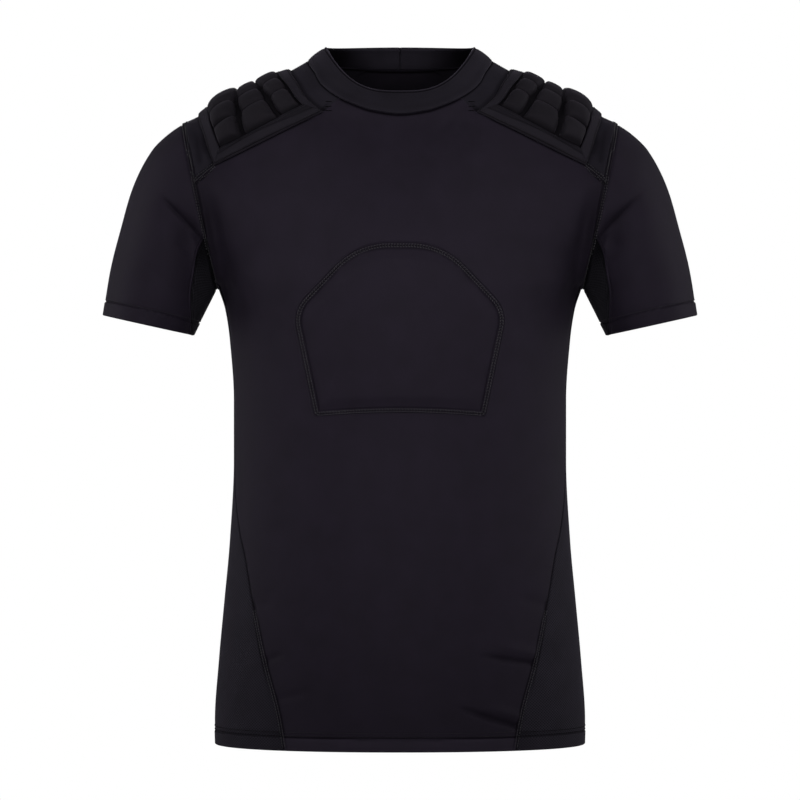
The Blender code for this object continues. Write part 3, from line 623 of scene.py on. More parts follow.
side_width = smooth_curve(SIDES, "half_width")
slope_width = smooth_curve(SHOULDER_SLOPE, "half_width")
depth_of = {FRONT: smooth_curve(DEPTHS, "front"), BACK: smooth_curve(DEPTHS, "back")}
roundness = smooth_curve(DEPTHS, "roundness")
edge_reach = smooth_curve(DEPTHS, "reach")
front_neckline = smooth_curve(NECKLINE, "z")
side_seam_depth = smooth_curve(SIDE_SEAM, "depth")
yoke_seam = {
    FRONT: (straight_curve(YOKE_STOPS, "front_x"), straight_curve(YOKE_STOPS, "front_z")),
    BACK: (straight_curve(YOKE_STOPS, "back_x"), straight_curve(YOKE_STOPS, "back_z")),
}
ridge_z = straight_curve(YOKE_STOPS, "ridge_z")
sleeve_top_x = smooth_curve(SLEEVE_TOP, "x")
sleeve_top_z = smooth_curve(SLEEVE_TOP, "z")
sleeve_half_depth = smooth_curve(SLEEVE_TOP, "half_depth")
gusset_half_angle = smooth_curve(GUSSET, "half_angle")


# The garment's surfaces, as functions of where a point is seen from the front


def fold_depth(folds, x, z):
    """How far the cloth sinks, fading out along and across folds."""
    sunk = np.zeros(np.broadcast(x, z).shape)
    for fold in folds:
        run_x, run_z = fold.end_x - fold.start_x, fold.end_z - fold.start_z
        length = math.hypot(run_x, run_z)
        along = ((x - fold.start_x) * run_x + (z - fold.start_z) * run_z) / length
        across = ((x - fold.start_x) * run_z - (z - fold.start_z) * run_x) / length
        past_end = np.maximum(np.maximum(-along, along - length), 0.0)
        faded = bell(np.hypot(across, past_end), fold.half_width)
        sunk += fold.depth * faded * smooth_step(2 * along / length)
    return sunk


def half_width(z):
    """Half the garment's width at heights: its side, the armhole's line or the shoulder's slope."""
    line = blend(ARMPIT.x, SHOULDER_TIP.x, (z - ARMPIT.z) / (SHOULDER_TIP.z - ARMPIT.z))
    below = np.where(z < ARMPIT.z, side_width(z), line)
    return np.where(z > SHOULDER_TIP.z, slope_width(z), below)


def armhole_edge(z):
    """How far the armhole's edge stands in front of and behind the middle plane."""
    share = (z - ARMHOLE_MIDDLE) / ARMHOLE_REACH
    return ARMHOLE_HALF_DEPTH * np.sqrt(np.maximum(0.0, 1 - share**2))


def torso_point(x, z, face):
    """Points of the body's front or back."""
    share = np.minimum(np.abs(x) / half_width(z), 1.0)
    crown = depth_of[face](z) * (1 - share**FLATNESS) ** (1 / roundness(z))
    edge = armhole_edge(z) * share ** edge_reach(z)
    sunk = fold_depth(CHEST_FOLDS, np.abs(x), z) * (1 - share**FOLD_END)
    return np.stack(np.broadcast_arrays(x, face * (crown + edge - sunk), z), axis=-1)


def front_point(x, z):
    return torso_point(x, z, FRONT)


def side_point(y, z):
    """Points of the body's left side, from their depth and height."""
    depth = np.where(y < 0, depth_of[FRONT](z), depth_of[BACK](z))
    rise = np.maximum(np.abs(y) - armhole_edge(z), 0.0) / depth
    x = half_width(z) * (1 - rise ** roundness(z)) ** (1 / FLATNESS)
    return np.stack(np.broadcast_arrays(x, y, z), axis=-1)


def neckline_z(share, face):
    """The neckline's height at shares of the body's half width there, from its middle."""
    if face == FRONT:
        return front_neckline(share)
    return blend(NECK_BACK_Z, NECK_POINT.z, share**2)


def neckline_place(share, face):
    z = neckline_z(share, face)
    return share * half_width(z), z


FINE = np.linspace(0.0, 1.0, FINE_SAMPLES)
NECK_CORNER = {
    face: float(np.interp(yoke_seam[face][0](0.0), neckline_place(FINE, face)[0], FINE))
    for face in (FRONT, BACK)
}


def yoke_seam_place(share, face):
    """Places on the yoke's seam, with its ends on the neckline and the armhole."""
    x, z = yoke_seam[face][0](share), yoke_seam[face][1](share)
    start_x, start_z = neckline_place(np.array(NECK_CORNER[face]), face)
    x, z = np.where(share <= 0, start_x, x), np.where(share <= 0, start_z, z)
    end_x = half_width(np.array(YOKE_AT_ARMHOLE_Z))
    return np.where(share >= 1, end_x, x), np.where(share >= 1, YOKE_AT_ARMHOLE_Z, z)


def panel_top_z(share, face):
    """The upper edge of the front or back panel: the neckline, and then the yoke's seam."""
    x, z = yoke_seam_place(FINE, face)
    on_seam = np.interp(share, x / half_width(z), z)
    return np.where(share <= NECK_CORNER[face], neckline_z(share, face), on_seam)


def torso_panel(shares, rises, face):
    """The front or back panel: shares run across it from -1 to 1, rises up it from 0 to 1."""
    shares, rises = np.meshgrid(shares, rises)
    z = blend(HEM_Z, panel_top_z(np.abs(shares), face), rises)
    seam = side_point(face * side_seam_depth(z), z)
    below = z < SIDE_SEAM_TOP_Z
    points = torso_point(shares * np.where(below, seam[..., 0], half_width(z)), z, face)
    on_seam = below & (np.abs(shares) >= 1)
    points[..., 1] = np.where(on_seam, seam[..., 1], points[..., 1])
    return points


def side_panel(acrosses, rises):
    """The left side panel: acrosses run from -1, its front seam, to 1, its back seam."""
    acrosses, rises = np.meshgrid(acrosses, rises)
    opening = np.abs(acrosses) * side_seam_depth(SIDE_SEAM_TOP_Z) / ARMHOLE_HALF_DEPTH
    top = ARMHOLE_MIDDLE - ARMHOLE_REACH * np.sqrt(1 - opening**2)
    z = blend(HEM_Z, top, rises)
    return side_point(acrosses * side_seam_depth(z), z)


def yoke_place(share, rise, face):
    """Where half the yoke lies, filled in between its four edges."""
    filled = []
    seam = yoke_seam_place(share, face)
    slope_z = ridge_z(share)
    ridge = half_width(slope_z), slope_z
    neck = neckline_place(blend(NECK_CORNER[face], 1.0, rise), face)
    arm_z = blend(YOKE_AT_ARMHOLE_Z, SHOULDER_TIP.z, rise)
    arm = half_width(arm_z), arm_z
    first, last = yoke_seam_place(np.array(0.0), face), yoke_seam_place(np.array(1.0), face)
    for k in range(2):
        lower = blend(first[k], last[k], share)
        upper = blend(NECK_POINT[k], SHOULDER_TIP[k], share)
        across = blend(neck[k], arm[k], share)
        filled.append(blend(seam[k], ridge[k], rise) + across - blend(lower, upper, rise))
    return filled


def yoke_point(share, round_share):
    """Points of the left yoke: share runs from neck to armhole, round_share from front to back."""
    rise = 1 - np.abs(2 * round_share - 1) ** 2
    front, back = [torso_point(*yoke_place(share, rise, face), face) for face in (FRONT, BACK)]
    return np.where((round_share < 0.5)[..., None], front, back)


def sleeve_point(share, angle, hand):
    """Points of the left sleeve: share runs from armhole to cuff, the angle from the top."""
    rise = (1 + np.cos(angle)) / 2
    x = blend(blend(ARMPIT.x, CUFF_INNER.x, share), sleeve_top_x(share), rise)
    z = blend(blend(ARMPIT.z, CUFF_INNER.z, share), sleeve_top_z(share), rise)
    sunk = fold_depth(SLEEVE_FOLDS + SLEEVE_CREASES[hand], x, z) * smooth_step(share / ARMHOLE_SMOOTH)
    return np.stack([x, (sleeve_half_depth(share) - sunk) * np.sin(angle), z], axis=-1)


def sleeve_part(acrosses, rises, hand, under):
    """The sleeve, from its gusset's front seam round to the back one, or the gusset under the arm."""
    acrosses, rises = np.meshgrid(acrosses, rises)
    half = gusset_half_angle(1 - rises)
    start, end = (math.pi - half, math.pi + half) if under else (half - math.pi, math.pi - half)
    return sleeve_point(1 - rises, blend(start, end, acrosses), hand)


def neckline_half(face):
    """The left half of the neckline at the front or back, from its middle."""
    share = np.sin(np.linspace(0, math.pi / 2, LOOP_SAMPLES))
    return torso_point(*neckline_place(share, face), face)


def band_top_half(face):
    """The left half of the neckband's upper edge at the front or back, from its middle."""
    angle = np.linspace(math.pi / 2, 0, LOOP_SAMPLES)
    if face == FRONT:
        z = blend(BAND_TOP_FRONT_Z, BAND_TOP_SIDE_Z, np.abs(np.cos(angle)) ** BAND_DIP)
        y = -BAND_TOP_FRONT_Y * np.sin(angle)
    else:
        z = blend(BAND_TOP_SIDE_Z, BAND_TOP_BACK_Z, np.sin(angle) ** 2)
        y = BAND_TOP_BACK_Y * np.sin(angle)
    return np.stack([BAND_TOP_X * np.cos(angle), y, z], axis=-1)


def full_loop(front, back):
    """Left halves of a loop, run from the middle of the back round by the right and the front."""
    return np.concatenate([mirrored(back), mirrored(front)[-2::-1], front[1:], back[-2::-1]])


# Shoulder pads, in shares of their width from the neck and of their length from the front

PAD_ENDS = np.array([line.end for line in PAD_LINES])
PAD_RIDGES = np.array([line.ridge for line in PAD_LINES])
PAD_SHARES = (PAD_ENDS - PAD_ENDS[0]) / (PAD_ENDS[-1] - PAD_ENDS[0])
STRIP_SHARE_NECK = PAD_SHARES[1]
STRIP_SHARE_ARM = 1 - PAD_SHARES[-2]
BLOCKS_ACROSS = PAD_SHARES[1:-1]
BLOCKS_ALONG = blend(STRIP_SHARE_ALONG, 1 - STRIP_SHARE_ALONG, np.cumsum([0] + BLOCK_LENGTHS))


def pad_point(across, along):
    """Points of the yoke under a pad."""
    to_ridge = 1 - np.abs(2 * along - 1)
    at_end = np.interp(across, PAD_SHARES, PAD_ENDS)
    on_ridge = np.interp(across, PAD_SHARES, PAD_RIDGES)
    round_share = blend(PAD_FRONT_SHARE, 1 - PAD_FRONT_SHARE, along)
    return yoke_point(blend(at_end, on_ridge, to_ridge), round_share)


def pad_rim_height(across, along):
    """The pad's height in its rim: it slopes up from its edge to the window between the strips."""
    sideways = np.minimum(across / STRIP_SHARE_NECK, (1 - across) / STRIP_SHARE_ARM)
    lengthways = np.minimum(along, 1 - along) / STRIP_SHARE_ALONG
    inset = np.clip(np.minimum(sideways, lengthways), 0, 1)
    return blend(PAD_EDGE, PAD_STEP, inset**RIM_CURVE)


def in_column(across):
    """How far places are off the middle of their column of blocks, from 0 to 1, and which it is."""
    i = np.clip(np.searchsorted(BLOCKS_ACROSS, across, side="right") - 1, 0, len(BLOCKS_ACROSS) - 2)
    half = (BLOCKS_ACROSS[i + 1] - BLOCKS_ACROSS[i]) / 2
    side = half - np.abs(across - BLOCKS_ACROSS[i] - half)
    return 1 - np.clip(side / half, 0, 1), i


def rounded(distance, wall):
    """A pillow's rounded shoulder: from 0 at its foot to 1 on its top."""
    return np.sqrt(1 - (1 - np.clip(distance / wall, 0, 1)) ** 3)


def row_place(across, row):
    """Where a pad's cross lines run along it: they sag towards the sides of each column."""
    off_middle, _ = in_column(across)
    from_end = np.minimum(row, 1 - row)
    sag = smooth_step((from_end - BLOCKS_ALONG[0]) / SAG_AT_END)
    sag = sag * smooth_step((0.5 - from_end) / SAG_AT_RIDGE)
    return row - ROW_ARCH * off_middle**2 * sag * np.sign(0.5 - row)


def pad_height(across, along):
    """The pad's height: rounded blocks in the window, deep grooves between columns and shallower
    creases between rows, and a sloping rim round it."""
    off_middle, column = in_column(across)
    from_end = np.minimum(along, 1 - along)
    in_columns = (across > BLOCKS_ACROSS[0]) & (across < BLOCKS_ACROSS[-1])
    in_window = in_columns & (from_end > BLOCKS_ALONG[0])
    from_crease = np.min(np.abs(along[..., None] - BLOCKS_ALONG[1:-1]), axis=-1) * PAD_LENGTH
    from_groove = np.min(np.abs(across[..., None] - BLOCKS_ACROSS[:-1]), axis=-1) * PAD_WIDTH
    from_arm = np.abs(BLOCKS_ACROSS[-1] - across) * PAD_WIDTH
    to_ridge = smooth_step((2 * from_end - RIDGE_START) / RIDGE_RUN)
    filled = GROOVE_RISE * smooth_step((2 * from_end - FILL_START) / FILL_RUN)
    floor = blend(GROOVE_FLOOR, RIDGE_FLOOR, to_ridge) + PINCH * bell(from_crease, PINCH_REACH)
    walls = blend(filled, 1.0, rounded(from_groove - floor, GROOVE_WALL))
    arm_rise = rounded(from_arm - RIDGE_FLOOR * (1 - to_ridge), blend(GROOVE_WALL, ARM_WALL, to_ridge))
    arm_side = blend(ARM_FOOT * to_ridge, 1.0, arm_rise)
    ends = rounded((from_end - BLOCKS_ALONG[0]) * PAD_LENGTH - RIDGE_FLOOR, END_WALL)
    rows = blend(1 - CREASE_DEPTH, 1.0, rounded(from_crease, CREASE_WALL))
    shape = walls * arm_side * ends * rows * (1 - CROWN * off_middle**2)
    top = np.array(BLOCK_TOPS)[column]
    return np.where(in_window, blend(PAD_GROOVE, top, shape), pad_rim_height(across, along))


def frame_line(inset):
    """A line round a pad's frame of strips: its neck side, its arm side and its front end."""
    low_v = blend(-STRIP_OVERHANG, STRIP_SHARE_ALONG, inset)
    return inset * STRIP_SHARE_NECK, 1 - inset * STRIP_SHARE_ARM, low_v


def strip_height(u, v):
    return 2 * LYING_GAP + pad_rim_height(u, v) + STRIP_CLOTH


# Grids and what is sewn into them


def merged(*runs):
    """Sorted stops, without those that fall together."""
    return np.unique(np.round(np.concatenate(runs), STOP_DIGITS))


def between(corners, counts):
    """Even stops from each corner to the next."""
    return [np.linspace(a, b, n + 1) for a, b, n in zip(corners, corners[1:], counts)]


def stops_along(length, step, start=SEAM_STOPS, end=SEAM_STOPS, extra=()):
    """Shares of a length in metres: steps of about the size asked, finer at the ends and the extras."""
    low, high = max(start), length - max(end)
    even = np.linspace(low, high, max(2, round((high - low) / step)) + 1)
    stops = merged(np.concatenate([start, [length - stop for stop in end], extra, even]) / length)
    return stops[(stops >= 0) & (stops <= 1)]


def hem_stops(depth):
    return [depth + stop for stop in HEM_LINE_STOPS]


def grid_normals(points):
    """Outward directions of a grid of points."""
    return unit(np.cross(np.gradient(points, axis=1), np.gradient(points, axis=0)))


def evened(normals):
    """Directions averaged with their neighbours', so that what stands up along them has no kinks."""
    for _ in range(EVENING_ROUNDS):
        near = np.pad(normals, ((1, 1), (1, 1), (0, 0)), "edge")
        beside = near[:-2, 1:-1] + near[2:, 1:-1] + near[1:-1, :-2] + near[1:-1, 2:]
        normals = (beside + 2 * normals) / 6
    return unit(normals)


def distances(points):
    """How far each point of a grid is from its bottom, top, left and right edge."""
    across = np.linalg.norm(np.diff(points, axis=1), axis=-1)
    up = np.linalg.norm(np.diff(points, axis=0), axis=-1)
    left = np.concatenate([np.zeros((len(points), 1)), np.cumsum(across, axis=1)], axis=1)
    bottom = np.concatenate([np.zeros((1, points.shape[1])), np.cumsum(up, axis=0)], axis=0)
    return {"bottom": bottom, "top": bottom[-1:] - bottom, "left": left, "right": left[:, -1:] - left}


def from_edges(points, *edges):
    """How far each point of a grid is from the nearest of some edges."""
    away = distances(points)
    return np.minimum.reduce([away[edge] for edge in edges])


def raised(points, height):
    return points + grid_normals(points) * height[..., None]


def dip(away, line):
    return line.depth * bell(away - line.place, line.half_width)


def line_shade(away, line):
    """How dark a line makes the cloth, by the distance from an edge."""
    return 1 - dip(away, line)


def sink(points, line, *edges):
    """Draws the cloth down along a line beside some of its edges."""
    return raised(points, -dip(from_edges(points, *edges), line))


def flat_seams(points, *edges, where=1.0):
    """Flat sewn seams: a narrow dip at the edge, a band under the stitches and a dent beside it."""
    away = from_edges(points, *edges)
    band = SEAM_RISE * smooth_step((SEAM_RISE_WIDTH - away) / SEAM_RISE_SLOPE)
    return raised(points, (band - dip(away, SEAM_DIP) - dip(away, SEAM_SIDE_DENT)) * where)


def seam_shows(points):
    """Where the yokes' seams show: they lie smooth between the pads and the neckband."""
    return smooth_step((np.abs(points[..., 0]) - PLAIN_SEAM_X) / PLAIN_SEAM_FADE)


def past_pad(points):
    """Where the seams round the armholes are sewn flat: beside a pad's strip they are plain."""
    beyond = smooth_step((np.abs(points[..., 0]) - YOKE_STOPS[-2].front_x) / PAST_PAD_FADE)
    return np.maximum(beyond, smooth_step((YOKE_AT_ARMHOLE_Z - points[..., 2]) / BELOW_YOKE_FADE))


def seam_shade(points, *edges):
    """Dark lines along flat sewn seams: one in the seam, and one on each side of its stitches."""
    away = from_edges(points, *edges)
    return math.prod(line_shade(away, line) for line in SEAM_LINES)


def hem_fold(points, depth):
    """A turned hem: a little thicker up to its line of stitches, and a dent along that line."""
    above = from_edges(points, "bottom") - depth
    return raised(points, HEM_RISE * smooth_step(-above / HEM_RISE_SLOPE) - dip(above, HEM_DENT))


def hem_shade(points, depth, painted_light=0.0):
    """A painted shadow line in the groove along a turned hem's stitches, and painted light that makes its
    double cloth paler.
    """
    above = from_edges(points, "bottom") - depth
    return line_shade(above, HEM_LINE) * (1 + painted_light * smooth_step(-above / HEM_FADE))


def hem_weights(points, depth):
    """Full thickness where the hem is turned up, and a single layer above it."""
    turned = smooth_step((depth - from_edges(points, "bottom")) / HEM_FADE + 0.5)
    return blend(1 / HEM_LAYERS, 1.0, turned)


def sewn_flat(points):
    """Where the side seams are sewn flat, from nothing above to 1 below."""
    return smooth_step((SIDE_STITCHES_TOP_Z - points[..., 2]) / SIDE_STITCHES_FADE)


def side_seam_shade(points):
    """A dark line along the side seams, or one on each side of their stitches."""
    away = from_edges(points, "left", "right")
    above_hem = smooth_step((points[..., 2] - HEM_Z) / HEM_DEPTH - 0.5)
    beside = Line(SIDE_ROW, SIDE_LINE_WIDTH, blend(SIDE_LINE_AT_HEM, SIDE_LINE_ABOVE, above_hem))
    pair = line_shade(away, beside) * line_shade(away, SIDE_MIDDLE_LINE)
    return blend(line_shade(away, SIDE_PLAIN_LINE), pair, sewn_flat(points))


def side_seam_dip(points):
    """How deep the side seams are drawn in."""
    return Line(0.0, SIDE_DIP_WIDTH, blend(SIDE_DIP, SIDE_FLAT_DIP, sewn_flat(points)))


def fold_shade(points, folds, depth=CREASE_SHADE):
    """Cloth shut in by sharp creases, which little light reaches."""
    shut = np.zeros(points.shape[:2])
    for fold in folds:
        shut += fold_depth([fold], points[..., 0], points[..., 2]) / fold.depth
    return 1 - depth * np.clip(shut, 0, 1)


def roll_edge(points, edge, radius):
    """Rounds a folded edge over, towards the inside."""
    short = np.clip(radius - from_edges(points, edge), 0, radius)
    return raised(points, np.sqrt(radius**2 - short**2) - radius)


def crease(points, folds):
    """Sinks listed creases into a grid, but leaves its sides shut against their neighbours."""
    clear = smooth_step(from_edges(points, "left", "right") / CREASE_CLEAR)
    return raised(points, -fold_depth(folds, points[..., 0], points[..., 2]) * clear)


# Materials


def feed(tree, socket, value):
    """Gives a socket a plain value or another node's result."""
    if isinstance(value, bpy.types.NodeSocket):
        tree.links.new(value, socket)
    else:
        socket.default_value = value


def new_material(name, **inputs):
    """A material, its node tree and its shader, with some of the shader's inputs set."""
    made = bpy.data.materials.new(name)
    made.use_nodes = True
    shader = made.node_tree.nodes["Principled BSDF"]
    for key, value in inputs.items():
        feed(made.node_tree, shader.inputs[key.replace("_", " ")], value)
    return made, made.node_tree, shader


def maths(tree, operation, *inputs):
    """A maths node on sockets or numbers, and its result."""
    node = tree.nodes.new("ShaderNodeMath")
    node.operation = operation
    for socket, value in zip(node.inputs, inputs):
        feed(tree, socket, value)
    return node.outputs[0]


def ramp(tree, value, dark, light, low=0.0, high=1.0):
    """Colours between two, as a value runs from low to high."""
    node = tree.nodes.new("ShaderNodeValToRGB")
    first, last = node.color_ramp.elements
    first.position, last.position = low, high
    first.color, last.color = (*dark, 1), (*light, 1)
    feed(tree, node.inputs["Fac"], value)
    return node.outputs["Color"]


def multiplied(tree, first, second):
    """Two colours multiplied."""
    mix = tree.nodes.new("ShaderNodeMix")
    mix.data_type = "RGBA"
    mix.blend_type = "MULTIPLY"
    for key, value in (("Factor", 1.0), ("A", first), ("B", second)):
        feed(tree, mix.inputs[key], value)
    return mix.outputs["Result"]


def noise(tree, scale, detail):
    """Uneven values through space."""
    node = tree.nodes.new("ShaderNodeTexNoise")
    place = tree.nodes.new("ShaderNodeTexCoord")
    for key, value in (("Scale", scale), ("Detail", detail), ("Vector", place.outputs["Object"])):
        feed(tree, node.inputs[key], value)
    return node.outputs["Fac"]


def cloth_axes(tree, cloth):
    """The cloth's own coordinates, counted in stitches across and up."""
    split = tree.nodes.new("ShaderNodeSeparateXYZ")
    feed(tree, split.inputs[0], tree.nodes.new("ShaderNodeTexCoord").outputs["UV"])
    counts = zip(split.outputs, (cloth.across, cloth.up))
    return [maths(tree, "DIVIDE", axis, size) for axis, size in counts]


def knit_height(tree, cloth):
    """Plain knit: columns of leaning stitches that meet in a V."""
    u, v = cloth_axes(tree, cloth)
    lean = maths(tree, "ABSOLUTE", maths(tree, "SUBTRACT", maths(tree, "FRACT", u), 0.5))
    wave = maths(tree, "ADD", v, maths(tree, "MULTIPLY", lean, STITCH_LEAN))
    rows = maths(tree, "SINE", maths(tree, "MULTIPLY", wave, math.tau))
    column = maths(tree, "ABSOLUTE", maths(tree, "SINE", maths(tree, "MULTIPLY", u, math.pi)))
    return maths(tree, "ADD", maths(tree, "MULTIPLY", rows, STITCH_RELIEF), column)


def mesh_height(tree, cloth):
    """Open mesh knit: staggered round holes."""
    turns = [maths(tree, "MULTIPLY", axis, math.tau) for axis in cloth_axes(tree, cloth)]
    waves = [maths(tree, "COSINE", turn) for turn in turns]
    return maths(tree, "MULTIPLY_ADD", maths(tree, "MULTIPLY", *waves), -0.5, 0.5)


Cloth = namedtuple("Cloth", "red green blue roughness sheen specular across up bump open")
CLOTHS = {
    "jersey": Cloth(0.0114, 0.0085, 0.0152, 0.60, 0.05, 0.16, 0.00085, 0.00070, 0.00010, False),
    "yoke_jersey": Cloth(0.0142, 0.0127, 0.0178, 0.70, 0.05, 0.10, 0.00085, 0.00070, 0.00010, False),
    "band_jersey": Cloth(0.0118, 0.0104, 0.0148, 0.60, 0.06, 0.14, 0.00075, 0.00065, 0.00010, False),
    # The neckband's inside: a paler copy of its cloth, painted light
    "band_inside": Cloth(0.0262, 0.0232, 0.0318, 0.70, 0.04, 0.10, 0.00075, 0.00065, 0.00010, False),
    "strip_jersey": Cloth(0.0088, 0.0078, 0.0105, 0.64, 0.06, 0.12, 0.00075, 0.00065, 0.00010, False),
    # A paler copy of the strips' cloth for the neck and arm strips: painted light
    "rim_jersey": Cloth(0.0146, 0.0129, 0.0176, 0.62, 0.07, 0.14, 0.00075, 0.00065, 0.00010, False),
    "pad_jersey": Cloth(0.0116, 0.0103, 0.0128, 0.66, 0.06, 0.13, 0.00090, 0.00075, 0.00010, False),
    "inside_jersey": Cloth(0.0090, 0.0078, 0.0110, 0.85, 0.00, 0.05, 0.00085, 0.00070, 0.00010, False),
    "air_mesh": Cloth(0.0232, 0.0209, 0.0290, 0.74, 0.07, 0.10, 0.00340, 0.00280, 0.00040, True),
    # The underarm gusset's air mesh, made darker: painted shade under the arm
    "gusset_mesh": Cloth(0.0190, 0.0180, 0.0225, 0.80, 0.03, 0.06, 0.00340, 0.00280, 0.00040, True),
}
Thread = namedtuple("Thread", "dark light sheen specular")
THREADS = {
    "pale_thread": Thread((0.017, 0.015, 0.020), (0.032, 0.029, 0.036), 0.15, 0.35),
    "dark_thread": Thread((0.007, 0.006, 0.009), (0.013, 0.011, 0.016), 0.08, 0.20),
    "black_thread": Thread((0.001, 0.001, 0.001), (0.002, 0.002, 0.002), 0.00, 0.03),
}

# How uneven the cloth's colour is, how much painted shade darkens the hollows of its knit and the holes of
# its mesh, and the thread's twist
VARIATION = 0.16
VARIATION_SCALE = 38.0
VARIATION_DETAIL = 4.0
VARIATION_RANGE = (0.3, 0.7)
ROUGHNESS_RANGE = 0.12
HOLE_SHADE_COLOUR = (0.18, 0.18, 0.18)
KNIT_HOLLOW_SHADE_COLOUR = (0.75, 0.75, 0.75)
WHITE = (1.0, 1.0, 1.0)
HOLLOW_RANGE = (0.20, 0.60)
STITCH_LEAN = 1.3
STITCH_RELIEF = 0.3
BUMP_STRENGTH = 0.6
SHEEN_ROUGHNESS = 0.45
SHEEN_TINT = (0.86, 0.76, 1.0, 1)
SPECULAR_TINT = (0.90, 0.80, 1.0, 1)
THREAD_ROUGHNESS = 0.5
TWIST_SCALE = 900.0
TWIST_DETAIL = 2.0


def cloth_material(name):
    """A knitted cloth with its own stitch relief, painted shade in its hollows, a slight unevenness in its
    colour, and the painted light and shade of its shade attribute on colour, gloss and sheen.
    """
    cloth = CLOTHS[name]
    made, tree, shader = new_material(
        name, Sheen_Roughness=SHEEN_ROUGHNESS, Sheen_Tint=SHEEN_TINT, Specular_Tint=SPECULAR_TINT
    )
    height = (mesh_height if cloth.open else knit_height)(tree, cloth)
    uneven = noise(tree, VARIATION_SCALE, VARIATION_DETAIL)
    tones = [[part * (1 + change) for part in cloth[:3]] for change in (-VARIATION, VARIATION)]
    colour = ramp(tree, uneven, *tones, *VARIATION_RANGE)
    # Painted shade in the knit's hollows and the mesh's holes
    hollow_shade = ramp(tree, height, HOLE_SHADE_COLOUR if cloth.open else KNIT_HOLLOW_SHADE_COLOUR, WHITE, *HOLLOW_RANGE)
    lines = tree.nodes.new("ShaderNodeAttribute")
    lines.attribute_name = "inside_shade" if name == "band_inside" else "shade"
    shade = lines.outputs["Fac"]
    bump = tree.nodes.new("ShaderNodeBump")
    for key, value in (("Strength", BUMP_STRENGTH), ("Distance", cloth.bump), ("Height", height)):
        feed(tree, bump.inputs[key], value)
    lowest = cloth.roughness - ROUGHNESS_RANGE / 2
    sockets = {
        "Base Color": multiplied(tree, multiplied(tree, colour, hollow_shade), shade),
        "Specular IOR Level": maths(tree, "MULTIPLY", shade, cloth.specular),
        "Sheen Weight": maths(tree, "MULTIPLY", shade, cloth.sheen),
        "Roughness": maths(tree, "MULTIPLY_ADD", uneven, ROUGHNESS_RANGE, lowest),
        "Normal": bump.outputs["Normal"],
    }
    for key, value in sockets.items():
        feed(tree, shader.inputs[key], value)
    return made


def thread_material(name):
    """Sewing thread with its twist."""
    thread = THREADS[name]
    made, tree, shader = new_material(
        name, Roughness=THREAD_ROUGHNESS, Specular_IOR_Level=thread.specular, Sheen_Weight=thread.sheen
    )
    twist = noise(tree, TWIST_SCALE, TWIST_DETAIL)
    feed(tree, shader.inputs["Base Color"], ramp(tree, twist, thread.dark, thread.light))
    return made


finishes = {name: cloth_material(name) for name in CLOTHS}
finishes.update({name: thread_material(name) for name in THREADS})


# Panels

outsides = []


def new_piece(name, points, faces, *materials):
    """An object of the scene, from its points and faces."""
    mesh = bpy.data.meshes.new(name)
    mesh.from_pydata(points.reshape(-1, 3).tolist(), [], faces)
    for material in materials:
        mesh.materials.append(finishes[material])
    mesh.shade_smooth()
    piece = bpy.data.objects.new(name, mesh)
    bpy.context.scene.collection.objects.link(piece)
    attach(piece, "root")
    return piece


def shell(node, points, thickness, finish, shade, hand=LEFT, kind="cloth", inside=None,
          inside_shade=None, weights=None, outward=False):
    """Cloth on a grid of points, thickened inwards or outwards, in place of a node."""
    rows, columns = points.shape[:2]
    inside_shade = shade if inside_shade is None else inside_shade
    if hand == RIGHT:
        points = mirrored(points)[:, ::-1]
        shade, inside_shade = shade[:, ::-1], inside_shade[:, ::-1]
        weights = None if weights is None else weights[:, ::-1]
    index = np.arange(rows * columns).reshape(rows, columns)
    corners = [index[:-1, :-1], index[:-1, 1:], index[1:, 1:], index[1:, :-1]]
    quads = np.stack([corner.ravel() for corner in corners], axis=-1)
    materials = [finish, inside] if inside else [finish]
    piece = new_piece(f"{node}_{kind}", points, quads.tolist(), *materials)
    away = distances(points)
    middle = columns // 2
    u = away["left"] - away["left"][:, middle : middle + 1]
    v = np.broadcast_to(away["bottom"][:, middle : middle + 1], u.shape)
    uv = np.stack([u.ravel(), v.ravel()], axis=-1)[quads.ravel()]
    piece.data.uv_layers.new(name="cloth").data.foreach_set("uv", uv.ravel())
    for name, values in (("shade", shade), ("inside_shade", inside_shade)):
        piece.data.attributes.new(name, "FLOAT", "POINT").data.foreach_set("value", values.ravel())
    solid = piece.modifiers.new("thickness", "SOLIDIFY")
    solid.material_offset = solid.material_offset_rim = len(materials) - 1
    solid.thickness = thickness
    solid.offset = 1 if outward else -1
    if weights is not None:
        group = piece.vertex_groups.new(name="thickness")
        for i, weight in enumerate(weights.ravel().tolist()):
            group.add([i], weight, "REPLACE")
        solid.vertex_group = group.name
    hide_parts(node)
    outside = raised(points, thickness * weights) if outward else points
    outsides.append((outside.reshape(-1, 3), quads))


def hemmed_shell(node, points, depth, thickness, finish, shade, hand=LEFT):
    """Cloth with a turned hem along its lower edge."""
    weights = hem_weights(points, depth)
    points = roll_edge(points, "bottom", FOLD_RADIUS)
    shell(node, points, thickness * HEM_LAYERS, finish, shade, hand, inside="inside_jersey",
          weights=weights)


def torso_shares(face):
    """Stops across a body panel, with one at each corner of its upper edge."""
    x, z = yoke_seam_place(np.array([row.share for row in YOKE_STOPS]), face)
    corners = np.concatenate([[0.0], x / half_width(z)])
    half = merged(*between(corners, COLUMN_COUNTS[face]), 1 - np.array(SEAM_STOPS) / HALF_PANEL)
    return np.concatenate([-half[:0:-1], half])


